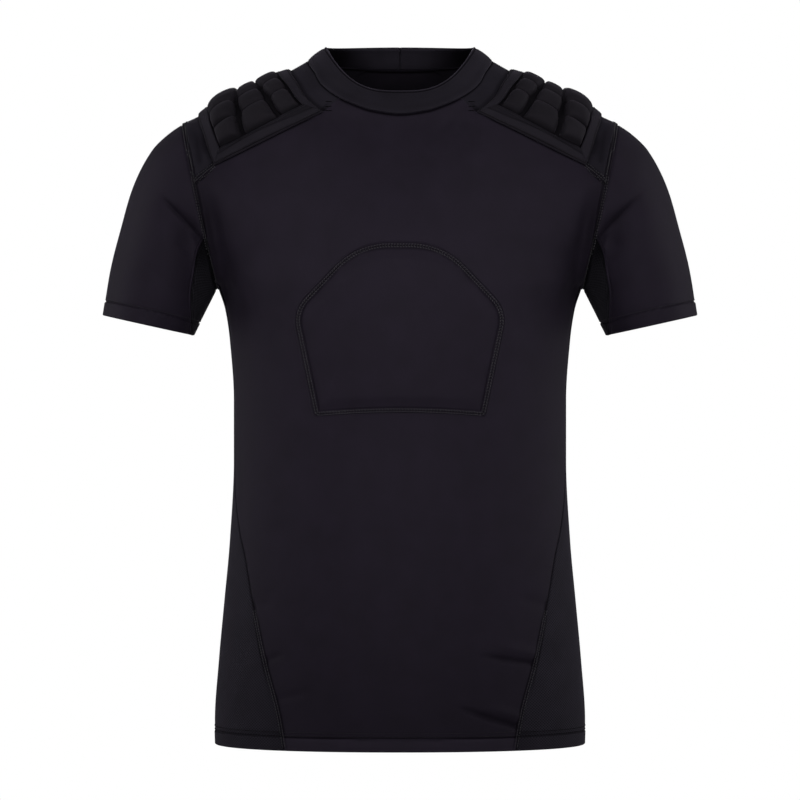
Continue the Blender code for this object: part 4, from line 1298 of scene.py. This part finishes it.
def make_torso_panel(node, face, creases, knots):
    shares = torso_shares(face)[::-face]
    close_rows = np.arange(HEM_DEPTH, CREASED_HEIGHT, CREASED_STEP) if face == FRONT else []
    extra = [*hem_stops(HEM_DEPTH), *close_rows]
    rises = stops_along(YOKE_AT_ARMHOLE_Z - HEM_Z, ROW_STEPS[face], start=FOLD_STOPS, extra=extra)
    points = crease(torso_panel(shares, rises, face), creases + knots)
    points = hem_fold(points, HEM_DEPTH)
    at_neck = np.abs(shares)[None] < NECK_CORNER[face]
    at_arm = points[..., 2] > SIDE_SEAM_TOP_Z
    on_left = np.abs(points) * np.array([1.0, 1.0, -1.0])
    # Painted light on the double hem, and a painted shadow line along its stitches
    shade = hem_shade(points, HEM_DEPTH, HEM_PAINTED_LIGHT)
    # Painted shade in the sharp creases, the knots, and the trough beside the armhole
    shade *= fold_shade(points, [fold for fold in creases if fold.depth > SHARP_CREASE])
    shade *= fold_shade(points, knots, KNOT_SHADE) * fold_shade(on_left, TROUGH_SHADES, TROUGH_SHADE)
    shade *= np.where(at_arm, seam_shade(points, "left", "right"), side_seam_shade(points))
    from_top = from_edges(points, "top")
    yoke_line = blend(line_shade(from_top, GROOVE_LINE), seam_shade(points, "top"), past_pad(points))
    yoke_line = blend(1.0, yoke_line, seam_shows(points))
    shade *= np.where(at_neck, line_shade(from_top, NECK_LINE), yoke_line)
    armhole = flat_seams(points, "top", "left", "right", where=past_pad(points))
    sides = sink(points, side_seam_dip(points), "left", "right")
    neck = sink(points, NECK_DIP, "top")
    points = np.where(at_neck[..., None], neck, np.where(at_arm[..., None], armhole, sides))
    hemmed_shell(node, points, HEM_DEPTH, JERSEY, "jersey", shade)


def make_side_panel(hand):
    near_seam = np.array(SEAM_STOPS) / HALF_SIDE
    acrosses = merged(np.linspace(-1, 1, SIDE_COLUMNS), 1 - near_seam, near_seam - 1)
    height = SIDE_SEAM_TOP_Z - HEM_Z
    rises = stops_along(height, SIDE_STEP, start=FOLD_STOPS, extra=hem_stops(HEM_DEPTH))
    points = hem_fold(side_panel(acrosses, rises), HEM_DEPTH)
    shade = hem_shade(points, HEM_DEPTH) * seam_shade(points, "top") * side_seam_shade(points)
    shade *= line_shade(from_edges(points, "bottom"), SECOND_LINE)
    points = flat_seams(points, "top")
    points = sink(points, side_seam_dip(points), "left", "right")
    node = f"side_panel_{SIDE_NAMES[hand]}"
    hemmed_shell(node, points, HEM_DEPTH, AIR_MESH, "air_mesh", shade, hand)


def make_yoke(hand):
    corners = [row.share for row in YOKE_STOPS]
    near_seam = np.array(SEAM_STOPS) / YOKE_LENGTH
    shares = merged(*between(corners, YOKE_COUNTS), near_seam, 1 - near_seam)
    grid = np.meshgrid(shares, stops_along(YOKE_ROUND, YOKE_STEP))
    points = crease(yoke_point(*grid), YOKE_CREASES[hand])
    sewn = ("top", "bottom", "right")
    points = flat_seams(points, *sewn, where=past_pad(points))
    points = sink(points, NECK_DIP, "left")
    shade = blend(1.0, seam_shade(points, *sewn), seam_shows(points))
    shade *= line_shade(from_edges(points, "left"), NECK_LINE) * fold_shade(points, YOKE_CREASES[hand])
    for place in (corners[1] - FRAME_SHADOW_OUT, corners[2] + FRAME_SHADOW_OUT):
        shade *= line_shade(shares[None], Line(place, FRAME_SHADOW_WIDTH, FRAME_SHADOW))
    node = f"yoke_{SIDE_NAMES[hand]}"
    shell(node, points, JERSEY, "yoke_jersey", shade, hand, inside="inside_jersey")


def make_sleeve(hand):
    """The sleeve and the gusset under the arm, with their turned hems."""
    length = SLEEVE_TOP[0].z - SLEEVE_TOP[-1].z
    rises = stops_along(length, SLEEVE_STEP, start=FOLD_STOPS, extra=hem_stops(CUFF_HEM_DEPTH))
    front_stops = np.arange(0.0, SLEEVE_ROUND / 2, SLEEVE_FRONT_STEP)
    sleeve_stops = stops_along(SLEEVE_ROUND, SLEEVE_BACK_STEP, extra=front_stops)
    gusset_stops = stops_along(GUSSET_ROUND, GUSSET_STEP)
    built = [
        ("sleeve", sleeve_stops, False, JERSEY, "jersey", "jersey"),
        ("underarm_gusset", gusset_stops, True, AIR_MESH, "gusset_mesh", "air_mesh"),
    ]
    for kind, stops, under, thickness, finish, slot in built:
        points = hem_fold(sleeve_part(stops, rises, hand, under), CUFF_HEM_DEPTH)
        points = flat_seams(points, "top", "left", "right")
        shade = hem_shade(points, CUFF_HEM_DEPTH) * seam_shade(points, "top")
        for edge in ("left", "right"):
            shade *= line_shade(from_edges(points, edge), GUSSET_LINE)
        shade *= fold_shade(points, SLEEVE_CREASES[hand][:1])
        if under:
            rise = (points[..., 2] - CUFF_INNER.z) / (GUSSET_TOP_Z - CUFF_INNER.z)
            shade *= blend(1.0, ARMPIT_SHADE, smooth_step(blend(-ARMPIT_START, 1.0, rise)))
        node = f"{kind}_{SIDE_NAMES[hand]}"
        hemmed_shell(node, points, CUFF_HEM_DEPTH, thickness, finish, shade, hand)


def make_neckband():
    """A strip from the neckline to the collar's upper edge, joined at the middle of the back."""
    low, high = [
        full_loop(even_run(half(FRONT), BAND_FRONT_COLUMNS), even_run(half(BACK), BAND_BACK_COLUMNS))
        for half in (neckline_half, band_top_half)
    ]
    rises = stops_along(BAND_HEIGHT, BAND_STEP, start=FOLD_STOPS, end=BAND_STOPS)[:, None, None]
    outward = unit(low * np.array([1.0, 1.0, 0.0]))
    points = blend(low[None], high[None], blend(-BAND_LAP, 1.0, rises))
    points = points + outward[None] * (BAND_BULGE * np.sin(math.pi * rises) + BAND_OUT)
    points = sink(points, BAND_RIM_DENT, "top")
    points = sink(points, BAND_JOIN_DIP, "left", "right")
    points = roll_edge(points, "top", BAND_TOP_ROLL)
    points = roll_edge(points, "bottom", BAND_FOOT_ROLL)
    to_side = np.abs(points[..., 0]) / BAND_TOP_X
    # Painted light on the band's sides, a painted highlight along its rim with a painted shadow under it,
    # and darker towards its foot
    shade = blend(1.0, BAND_SIDE_LIGHT, smooth_step(to_side - BAND_SIDE_START))
    for edge, line in (("top", BAND_RIM_SHADOW), ("top", BAND_RIM_LIGHT), ("bottom", BAND_FOOT_LINE)):
        shade *= line_shade(from_edges(points, edge), line)
    # Inside, painted shade towards the sides and the foot
    inside_side = smooth_step((to_side - BAND_INSIDE_START) / BAND_INSIDE_RUN)
    inside_shade = blend(1.0, BAND_INSIDE_SHADE, inside_side) * blend(BAND_INSIDE_FOOT, 1.0, rises[..., 0])
    shell("neckband", points, BAND_CLOTH, "band_jersey", shade, inside="band_inside",
          inside_shade=inside_shade)


# Chest pad


def rounded_outline(corners, steps):
    """Points along an outline with its corners rounded to their radii."""
    places = [np.array(corner[:2]) for corner in corners]
    run = [places[0]]
    for before, here, after, corner in zip(places, places[1:], places[2:], corners[1:]):
        back, on = unit(before - here), unit(after - here)
        half = math.acos(np.clip(back @ on, -1, 1)) / 2
        reach = corner.radius / math.tan(half)
        centre = here + unit(back + on) * corner.radius / math.sin(half)
        start, end = here + back * reach - centre, here + on * reach - centre
        for share in np.linspace(0, 1, steps):
            run.append(centre + unit(blend(start, end, share)) * corner.radius)
    return np.array(run + [places[-1]])


def chest_outline():
    """The chest pad's whole outline, from the middle of its top round by the wearer's left."""
    half = rounded_outline(CHEST_OUTLINE, OUTLINE_STEPS)[:-1]
    share = np.linspace(1, 0, BOW_STEPS)[1:]
    x, z = half[-1]
    bow = np.stack([x * share, z + CHEST_PAD_BOW * (1 - share**2)], axis=-1)
    half = np.concatenate([half, bow])
    return np.concatenate([half, half[-2::-1] * np.array([-1.0, 1.0])])


def chest_pad_height(from_edge):
    """The chest pad's height by the distance in from its outline: a seam band, then a soft rise."""
    margin = smooth_step((from_edge + CHEST_PAD_MARGIN) / MARGIN_SLOPE)
    band = smooth_step((SEAM_BAND + SEAM_BAND_OVER - np.abs(from_edge)) / SEAM_BAND_SLOPE)
    dents = dip(np.abs(from_edge), CHEST_DENT) + dip(from_edge, CHEST_MIDDLE_DENT)
    rise = smooth_step((from_edge - SEAM_BAND) / CHEST_PAD_SLOPE)
    thin = MARGIN_EDGE + MARGIN_RISE * margin + MARGIN_RISE * band
    return thin - dents + (CHEST_PAD_THICKNESS - MARGIN_EDGE - MARGIN_RISE) * rise


def inside_distance(places, outline):
    """How far places are inside a closed outline, or below nothing where they are outside it."""
    flat = places.reshape(-1, 2)
    nearest = np.full(len(flat), np.inf)
    inward = np.zeros(len(flat))
    for start, run in zip(outline[:-1], np.diff(outline, axis=0)):
        length = np.linalg.norm(run)
        if length < SHORTEST_RUN:
            continue
        offset = flat - start
        share = np.clip(offset @ run / length**2, 0, 1)
        away = np.linalg.norm(offset - share[:, None] * run, axis=-1)
        side = (offset[:, 1] * run[0] - offset[:, 0] * run[1]) / length
        closer = away < nearest
        nearest = np.where(closer, away, nearest)
        inward = np.where(closer, -side, inward)
    return (np.sign(inward) * nearest).reshape(places.shape[:-1])


def widened(corners, margin):
    """An outline's corners moved out, so that every edge but the middle ones lies further out."""
    places = [np.array(corner[:2]) for corner in corners]
    outs = [unit(np.array([a[1] - b[1], b[0] - a[0]])) for a, b in zip(places, places[1:])]
    moved = []
    for i, corner in enumerate(corners):
        near = outs[max(i - 1, 0) : i + 1]
        out = sum(near) / len(near)
        moved.append(OutlineCorner(*(places[i] + out * margin / (out @ out)), corner.radius + margin))
    return moved


def make_chest_pad():
    """A thin pad on the chest, as one patch from its lower edge to its upper edge."""
    half = rounded_outline(widened(CHEST_OUTLINE, CHEST_PAD_MARGIN), FINE_OUTLINE_STEPS)
    corner = int(np.argmax(half[:, 0] - half[:, 1]))
    turn = int(np.argmin(np.abs(half[:, 0] - CHEST_OUTLINE[1].x)))
    side = half[turn : corner + 1][::-1]
    along = travelled(side)
    rises = stops_along(along[-1], CHEST_PAD_STEP, start=CHEST_PAD_STOPS, end=CHEST_PAD_STOPS)
    shares = 2 * stops_along(CHEST_PAD_WIDTH, CHEST_PAD_STEP, CHEST_PAD_STOPS, CHEST_PAD_STOPS) - 1
    width, height = [np.interp(rises, along / along[-1], side[:, k])[:, None] for k in range(2)]
    x = shares[None] * width
    upper = np.interp(np.abs(x), half[: turn + 1, 0], half[: turn + 1, 1]) - side[-1, 1]
    lower = CHEST_PAD_BOW * (1 - shares[None] ** 2)
    z = height + blend(lower, upper, rises[:, None])
    from_edge = inside_distance(np.stack([x, z], axis=-1), chest_outline())
    weights = chest_pad_height(from_edge) / CHEST_PAD_THICKNESS
    points = crease(front_point(x, z), FRONT_CREASES) + directions(front_point, x, z) * LYING_GAP
    shade = line_shade(from_edge, CHEST_MIDDLE_LINE)
    for line in (CHEST_DENT_LINE, CHEST_ROW_LINE):
        shade *= line_shade(np.abs(from_edge), line)
    shell("chest_pad", points, CHEST_PAD_THICKNESS, "jersey", shade, weights=weights,
          outward=True)


# Shoulder pads and their strips


def make_shoulder_pad(hand):
    """Foam blocks under a stretched cover, over the shoulder, with a sloping rim."""
    near = np.concatenate([GROOVE_STOPS, -np.array(GROOVE_STOPS)])
    acrosses, alongs = [
        stops_along(size, PAD_GRID, (0.0,), (0.0,), (edges[:, None] * size + near).ravel())
        for size, edges in ((PAD_WIDTH, BLOCKS_ACROSS), (PAD_LENGTH, BLOCKS_ALONG))
    ]
    across, row = np.meshgrid(acrosses, alongs)
    base = pad_point(across, row_place(across, row))
    height = pad_height(across, row)
    normal = grid_normals(base)
    on_blocks = smooth_step((height - PAD_STEP) / PAD_STEP)[..., None]
    points = base + blend(normal, evened(normal), on_blocks) * (LYING_GAP + height)[..., None]
    from_groove = np.min(np.abs(across[..., None] - BLOCKS_ACROSS), axis=-1) * PAD_WIDTH
    least = blend(GROOVE_SHADE, END_SHADE, smooth_step(from_groove / END_SHADE_CLEAR - 0.5))
    shade = blend(least, 1.0, smooth_step(height / PAD_STEP - SHADE_START))
    node = f"shoulder_pad_{SIDE_NAMES[hand]}"
    shell(node, points, PAD_COVER, "pad_jersey", shade, hand, kind="cover")


def strip_places(strip):
    """A strip's grid in its pad's shares, with mitred ends."""
    insets = stops_along(STRIP_WIDTH, STRIP_INSET_STEP, FOLD_STOPS[:-1], FOLD_STOPS[:-1])
    insets = insets[::-1] if strip.kind in ("back", "arm") else insets
    runs = stops_along(strip.length, STRIP_STEP)
    if strip.kind in ("front", "back"):
        run, inset = np.meshgrid(runs, insets)
        low_u, high_u, v = frame_line(inset)
        return blend(low_u, high_u, run), v if strip.kind == "front" else 1 - v
    inset, run = np.meshgrid(insets, runs)
    low_u, high_u, low_v = frame_line(inset)
    return low_u if strip.kind == "neck" else high_u, blend(low_v, 1 - low_v, run)


def make_pad_strips(hand):
    """Four strips of cloth, mitred into a frame, that hold a shoulder pad's rim down."""
    for strip in STRIPS:
        u, v = strip_places(strip)
        points = raised(pad_point(u, v), strip_height(u, v))
        points = roll_edge(points, strip.outer, STRIP_OUTER_ROLL)
        points = roll_edge(points, strip.inner, STRIP_INNER_ROLL)
        sewn_line = Line(STRIP_LINE, STRIP_LINE_WIDTH, strip.line_shade)
        shade = line_shade(from_edges(points, strip.outer), sewn_line)
        points = sink(points, Line(STRIP_LINE, STRIP_DENT_WIDTH, STRIP_DENT), strip.outer)
        if strip.finish == "strip_jersey":
            away = from_edges(points, strip.outer)
            # Painted light: the front and back strips are made paler from their outer edge up to their
            # facing
            shade *= 1 + STRIP_PAINTED_LIGHT * smooth_step((STRIP_FACING - away) / STRIP_PAINTED_LIGHT_FADE)
            shade *= line_shade(away, Line(STRIP_FACING, STRIP_DENT_WIDTH, STRIP_FACING_SHADE))
            points = sink(points, Line(STRIP_FACING, STRIP_DENT_WIDTH, STRIP_DENT), strip.outer)
        mitres = {"bottom", "top", "left", "right"} - {strip.outer, strip.inner}
        points = sink(points, MITRE_DIP, *sorted(mitres))
        node = f"pad_strip_{strip.kind}_{SIDE_NAMES[hand]}"
        shell(node, points, STRIP_CLOTH, strip.finish, shade, hand)


make_torso_panel("front_panel", FRONT, FRONT_CREASES, SEAM_KNOTS)
make_torso_panel("back_panel", BACK, BACK_CREASES, [])
make_neckband()
for side in (LEFT, RIGHT):
    make_side_panel(side)
    make_yoke(side)
    make_sleeve(side)
    make_shoulder_pad(side)
    make_pad_strips(side)
make_chest_pad()


# Stitches


def joined_outsides():
    """One search tree of all the cloth's outsides, for laying threads on them."""
    points, quads, count = [], [], 0
    for part_points, part_quads in outsides:
        points.append(part_points)
        quads.append(part_quads + count)
        count += len(part_points)
    return BVHTree.FromPolygons(np.concatenate(points).tolist(), np.concatenate(quads).tolist())


surface = joined_outsides()


def snapped(points):
    """The nearest points on the cloth's outside, and its directions there."""
    found = [surface.find_nearest(Vector(point)) for point in points]
    return np.array([near[0] for near in found]), np.array([near[1] for near in found])


def beside_on_cloth(path, offset, pitch):
    """Points on the cloth at even steps along a path, moved sideways by an offset."""
    count = max(2, round(travelled(path)[-1] / pitch))
    places, normals = snapped(even_run(path, count))
    if offset:
        side = unit(np.cross(normals, np.gradient(places, axis=0)))
        places, normals = snapped(places + side * offset)
    return places, normals


def beside_on_chest_pad(outline, offset, pitch):
    """Points on the chest pad at even steps along its outline, moved out by an offset."""
    flat = np.insert(outline, 1, 0.0, axis=1)
    places = even_run(flat, round(travelled(flat)[-1] / pitch))[:, [0, 2]]
    along = unit(np.gradient(places, axis=0))
    x, z = (places + offset * np.stack([-along[:, 1], along[:, 0]], axis=-1)).T
    normals = directions(front_point, x, z)
    height = LYING_GAP + chest_pad_height(np.full(len(x), -offset))
    return front_point(x, z) + normals * height[:, None], normals


def threads(starts, ends, normals, radius):
    """Short bent threads: each dips into the cloth at its ends and stands proud between them."""
    run = ends - starts
    side = unit(np.cross(run, normals))
    path = np.stack([starts + run * bend.share + normals * bend.lift for bend in THREAD_BENDS], axis=1)
    turns = np.arange(THREAD_SIDES) * math.tau / THREAD_SIDES
    ring = np.cos(turns)[:, None] * side[:, None] + np.sin(turns)[:, None] * normals[:, None]
    points = path[:, :, None] + radius * ring[:, None]
    count, rings = path.shape[:2]
    index = np.arange(count * rings * THREAD_SIDES).reshape(count, rings, THREAD_SIDES)
    after = np.roll(index, -1, axis=2)
    quads = np.stack([index[:, :-1], after[:, :-1], after[:, 1:], index[:, 1:]], axis=-1).reshape(-1, 4)
    caps = np.concatenate([index[:, 0, ::-1], index[:, -1]])
    return points.reshape(-1, 3), quads, caps


class Sewing:
    """Threads gathered into one piece."""

    def __init__(self):
        self.points, self.faces, self.count = [], [], 0

    def lay(self, starts, ends, normals, radius):
        points, quads, caps = threads(starts, ends, normals, radius)
        self.points.append(points)
        self.faces += (quads + self.count).tolist() + (caps + self.count).tolist()
        self.count += len(points)

    def row(self, path, stitch, offset=0.0, beside=beside_on_cloth):
        """A row of stitches along a path, or beside it."""
        places, normals = beside(path, offset, stitch.pitch)
        ends = places[:-1] + np.diff(places, axis=0) * stitch.length / stitch.pitch
        self.lay(places[:-1], ends, normals[:-1], stitch.radius)

    def flatlock(self, path, offsets, beside=beside_on_cloth):
        """Rows of thick stitches, with thin threads that cross between them."""
        for offset in offsets:
            self.row(path, SEAM_STITCH, offset, beside)
        near, near_normals = beside(path, -CROSS_REACH, SEAM_STITCH.pitch)
        far, far_normals = beside(path, CROSS_REACH, SEAM_STITCH.pitch)
        self.lay(near, far, unit(near_normals + far_normals), CROSS_THREAD)

    def make(self, name, finish):
        piece = new_piece(name, np.concatenate(self.points), self.faces, finish)


def hem_paths(depth):
    """Lines along the front, the back and both sides at a height above the hem's edge."""
    z = HEM_Z + depth
    seam = side_seam_depth(z)
    x = np.linspace(-1, 1, HEM_SAMPLES) * side_point(-seam, z)[0]
    side = side_point(np.linspace(-1, 1, SIDE_SAMPLES) * seam, z)
    return [front_point(x, z), torso_point(x, z, BACK)], [side, mirrored(side)]


def cuff_path(hand):
    """A line round the cuff above its turned hem."""
    angles = np.linspace(-math.pi, math.pi, CUFF_SAMPLES)
    end = np.ones(CUFF_SAMPLES)
    run = sleeve_point(end, angles, hand) - sleeve_point(end - CUFF_SHARE_STEP, angles, hand)
    share = (CUFF_HEM_DEPTH + CUFF_STITCH_ABOVE) * CUFF_SHARE_STEP / np.linalg.norm(run, axis=-1)
    return handed(sleeve_point(1 - share, angles, hand), hand)


def sew_hems():
    sewing, side_sewing = Sewing(), Sewing()
    for depth in (HEM_DEPTH + HEM_STITCH_ABOVE, HEM_DEPTH + SECOND_HEM_LINE):
        for piece, paths in zip((sewing, side_sewing), hem_paths(depth)):
            for path in paths:
                piece.row(path, HEM_STITCH)
    side_sewing.make("side_hem_stitches", "black_thread")
    for hand in (LEFT, RIGHT):
        sewing.row(cuff_path(hand), HEM_STITCH)
    sewing.make("hem_stitches", "dark_thread")


def sew_armholes():
    sewing = Sewing()
    angles = np.linspace(-math.pi, math.pi, ARMHOLE_SAMPLES)
    for hand in (LEFT, RIGHT):
        sewing.flatlock(handed(sleeve_point(0 * angles, angles, hand), hand), ARMHOLE_ROWS)
        for face in (FRONT, BACK):
            x, z = yoke_seam_place(np.linspace(YOKE_STOPS[-2].share, 1.0, YOKE_SEAM_SAMPLES), face)
            sewing.flatlock(handed(torso_point(x, z, face), hand), ARMHOLE_ROWS)
    sewing.make("armhole_stitches", "pale_thread")


def sew_sides():
    sewing = Sewing()
    z = np.linspace(HEM_Z + SIDE_STITCHES_START, SIDE_STITCHES_TOP_Z, SIDE_SEAM_SAMPLES)
    for hand in (LEFT, RIGHT):
        for face in (FRONT, BACK):
            path = handed(side_point(face * side_seam_depth(z), z), hand)
            for offset in SIDE_ROWS:
                sewing.row(path, SIDE_STITCH, offset)
    sewing.make("side_stitches", "pale_thread")


def sew_chest_pad():
    sewing, hole_shadows = Sewing(), Sewing()
    sewing.flatlock(chest_outline(), (-SEAM_ROW, SEAM_ROW), beside_on_chest_pad)
    sewing.make("chest_pad_stitches", "pale_thread")
    # Black dashes down the middle of the seam: painted shadow of its needle holes
    hole_shadows.row(chest_outline(), NEEDLE_HOLE_SHADOW, 0.0, beside_on_chest_pad)
    hole_shadows.make("chest_pad_hole_shadows", "black_thread")


def sew_strips():
    """Fine topstitching along the pad strips' edges and across their mitres."""
    sewing = Sewing()
    share = np.linspace(0, 1, STRIP_SAMPLES)
    for hand in (LEFT, RIGHT):
        for inset in STRIP_STITCH_INSETS:
            low_u, high_u, low_v = frame_line(inset)
            corners = [(low_u, low_v), (high_u, low_v), (high_u, 1 - low_v), (low_u, 1 - low_v)]
            for (u0, v0), (u1, v1) in zip(corners, corners[1:] + corners[:1]):
                u, v = blend(u0, u1, share), blend(v0, v1, share)
                path = pad_point(u, v) + directions(pad_point, u, v) * strip_height(u, v)[:, None]
                sewing.row(handed(path, hand), STRIP_STITCH)
    sewing.make("pad_strip_stitches", "dark_thread")


def sew_gathers():
    """Short rows of black stitches where the yoke's seam runs into the neckline's gathers, for the dark
    lines there.
    """
    sewing = Sewing()
    x = np.linspace(*GATHER_REACH, GATHER_SAMPLES)
    for hand in (LEFT, RIGHT):
        for z in GATHER_HEIGHTS:
            sewing.row(handed(front_point(x, z), hand), GATHER_STITCH)
    sewing.make("gather_stitches", "black_thread")


sew_hems()
sew_armholes()
sew_sides()
sew_chest_pad()
sew_strips()
sew_gathers()


# Camera, at the photograph's height and distance

CAMERA_DISTANCE = 4.0
CAMERA_Z = -0.306
FRAME_WIDTH = 0.8
SENSOR_WIDTH = 36.0
FARTHEST = 50.0
scene = bpy.context.scene
camera_data = bpy.data.cameras.new("camera")
camera_data.sensor_width = SENSOR_WIDTH
camera_data.lens = SENSOR_WIDTH * CAMERA_DISTANCE / FRAME_WIDTH
camera_data.clip_end = FARTHEST
camera = bpy.data.objects.new("camera", camera_data)
camera.location = (0.0, -CAMERA_DISTANCE, CAMERA_Z)
camera.rotation_euler = (math.pi / 2, 0.0, 0.0)
scene.collection.objects.link(camera)
scene.camera = camera


# Floor, world and lights

FLOOR_Z = HEM_Z - 0.75
FLOOR_REACH = 6.0
FLOOR_COLOUR = (0.9, 0.9, 0.9, 1)
FLOOR_ROUGHNESS = 0.8
AMBIENT = 0.09
FLOOR_SIGNS = ((-1, -1), (1, -1), (1, 1), (-1, 1))
floor_corners = [(x * FLOOR_REACH, y * FLOOR_REACH, FLOOR_Z) for x, y in FLOOR_SIGNS]
floor_mesh = bpy.data.meshes.new("floor")
floor_mesh.from_pydata(floor_corners, [], [(0, 1, 2, 3)])
floor_mesh.materials.append(new_material("floor", Base_Color=FLOOR_COLOUR, Roughness=FLOOR_ROUGHNESS)[0])
floor = bpy.data.objects.new("floor", floor_mesh)
scene.collection.objects.link(floor)

world = bpy.data.worlds.new("studio")
scene.world = world
world.use_nodes = True
backdrop = world.node_tree.nodes["Background"]
backdrop.inputs["Color"].default_value = (1, 1, 1, 1)
rays = world.node_tree.nodes.new("ShaderNodeLightPath")
strength = maths(world.node_tree, "MULTIPLY_ADD", rays.outputs["Is Camera Ray"], 1 - AMBIENT, AMBIENT)
feed(world.node_tree, backdrop.inputs["Strength"], strength)

# Softboxes, and the height on the middle line that each one faces
Softbox = namedtuple("Softbox", "name x y z width height power spread aim_z")
SOFTBOXES = [
    Softbox("left_front", -0.80, -1.80, -0.05, 0.6, 0.7, 0.59, 34, -0.23),
    Softbox("right_front", 0.80, -1.80, -0.05, 0.6, 0.7, 0.59, 34, -0.23),
    Softbox("top_front", 0.0, -1.10, 1.00, 1.0, 0.5, 0.5, 100, -0.10),
    Softbox("left_top", -1.20, -0.50, 1.00, 0.5, 0.5, 0.35, 60, 0.00),
    Softbox("right_top", 1.20, -0.50, 1.00, 0.5, 0.5, 0.35, 60, 0.00),
    Softbox("left_edge", -2.0, 0.3, 0.1, 0.6, 1.8, 9.2, 180, -0.30),
    Softbox("right_edge", 2.0, 0.3, 0.1, 0.6, 1.8, 9.2, 180, -0.30),
    Softbox("back", 0.0, 2.0, 0.05, 1.0, 0.9, 1.3, 40, -0.25),
]
for box in SOFTBOXES:
    light_data = bpy.data.lights.new(box.name, "AREA")
    light_data.shape = "RECTANGLE"
    light_data.size, light_data.size_y = box.width, box.height
    light_data.energy = box.power
    light_data.spread = math.radians(box.spread)
    light = bpy.data.objects.new(box.name, light_data)
    light.location = (box.x, box.y, box.z)
    aim = Vector((0, 0, box.aim_z)) - Vector(light.location)
    light.rotation_euler = aim.to_track_quat("-Z", "Y").to_euler()
    scene.collection.objects.link(light)

scene.view_settings.view_transform = "Standard"
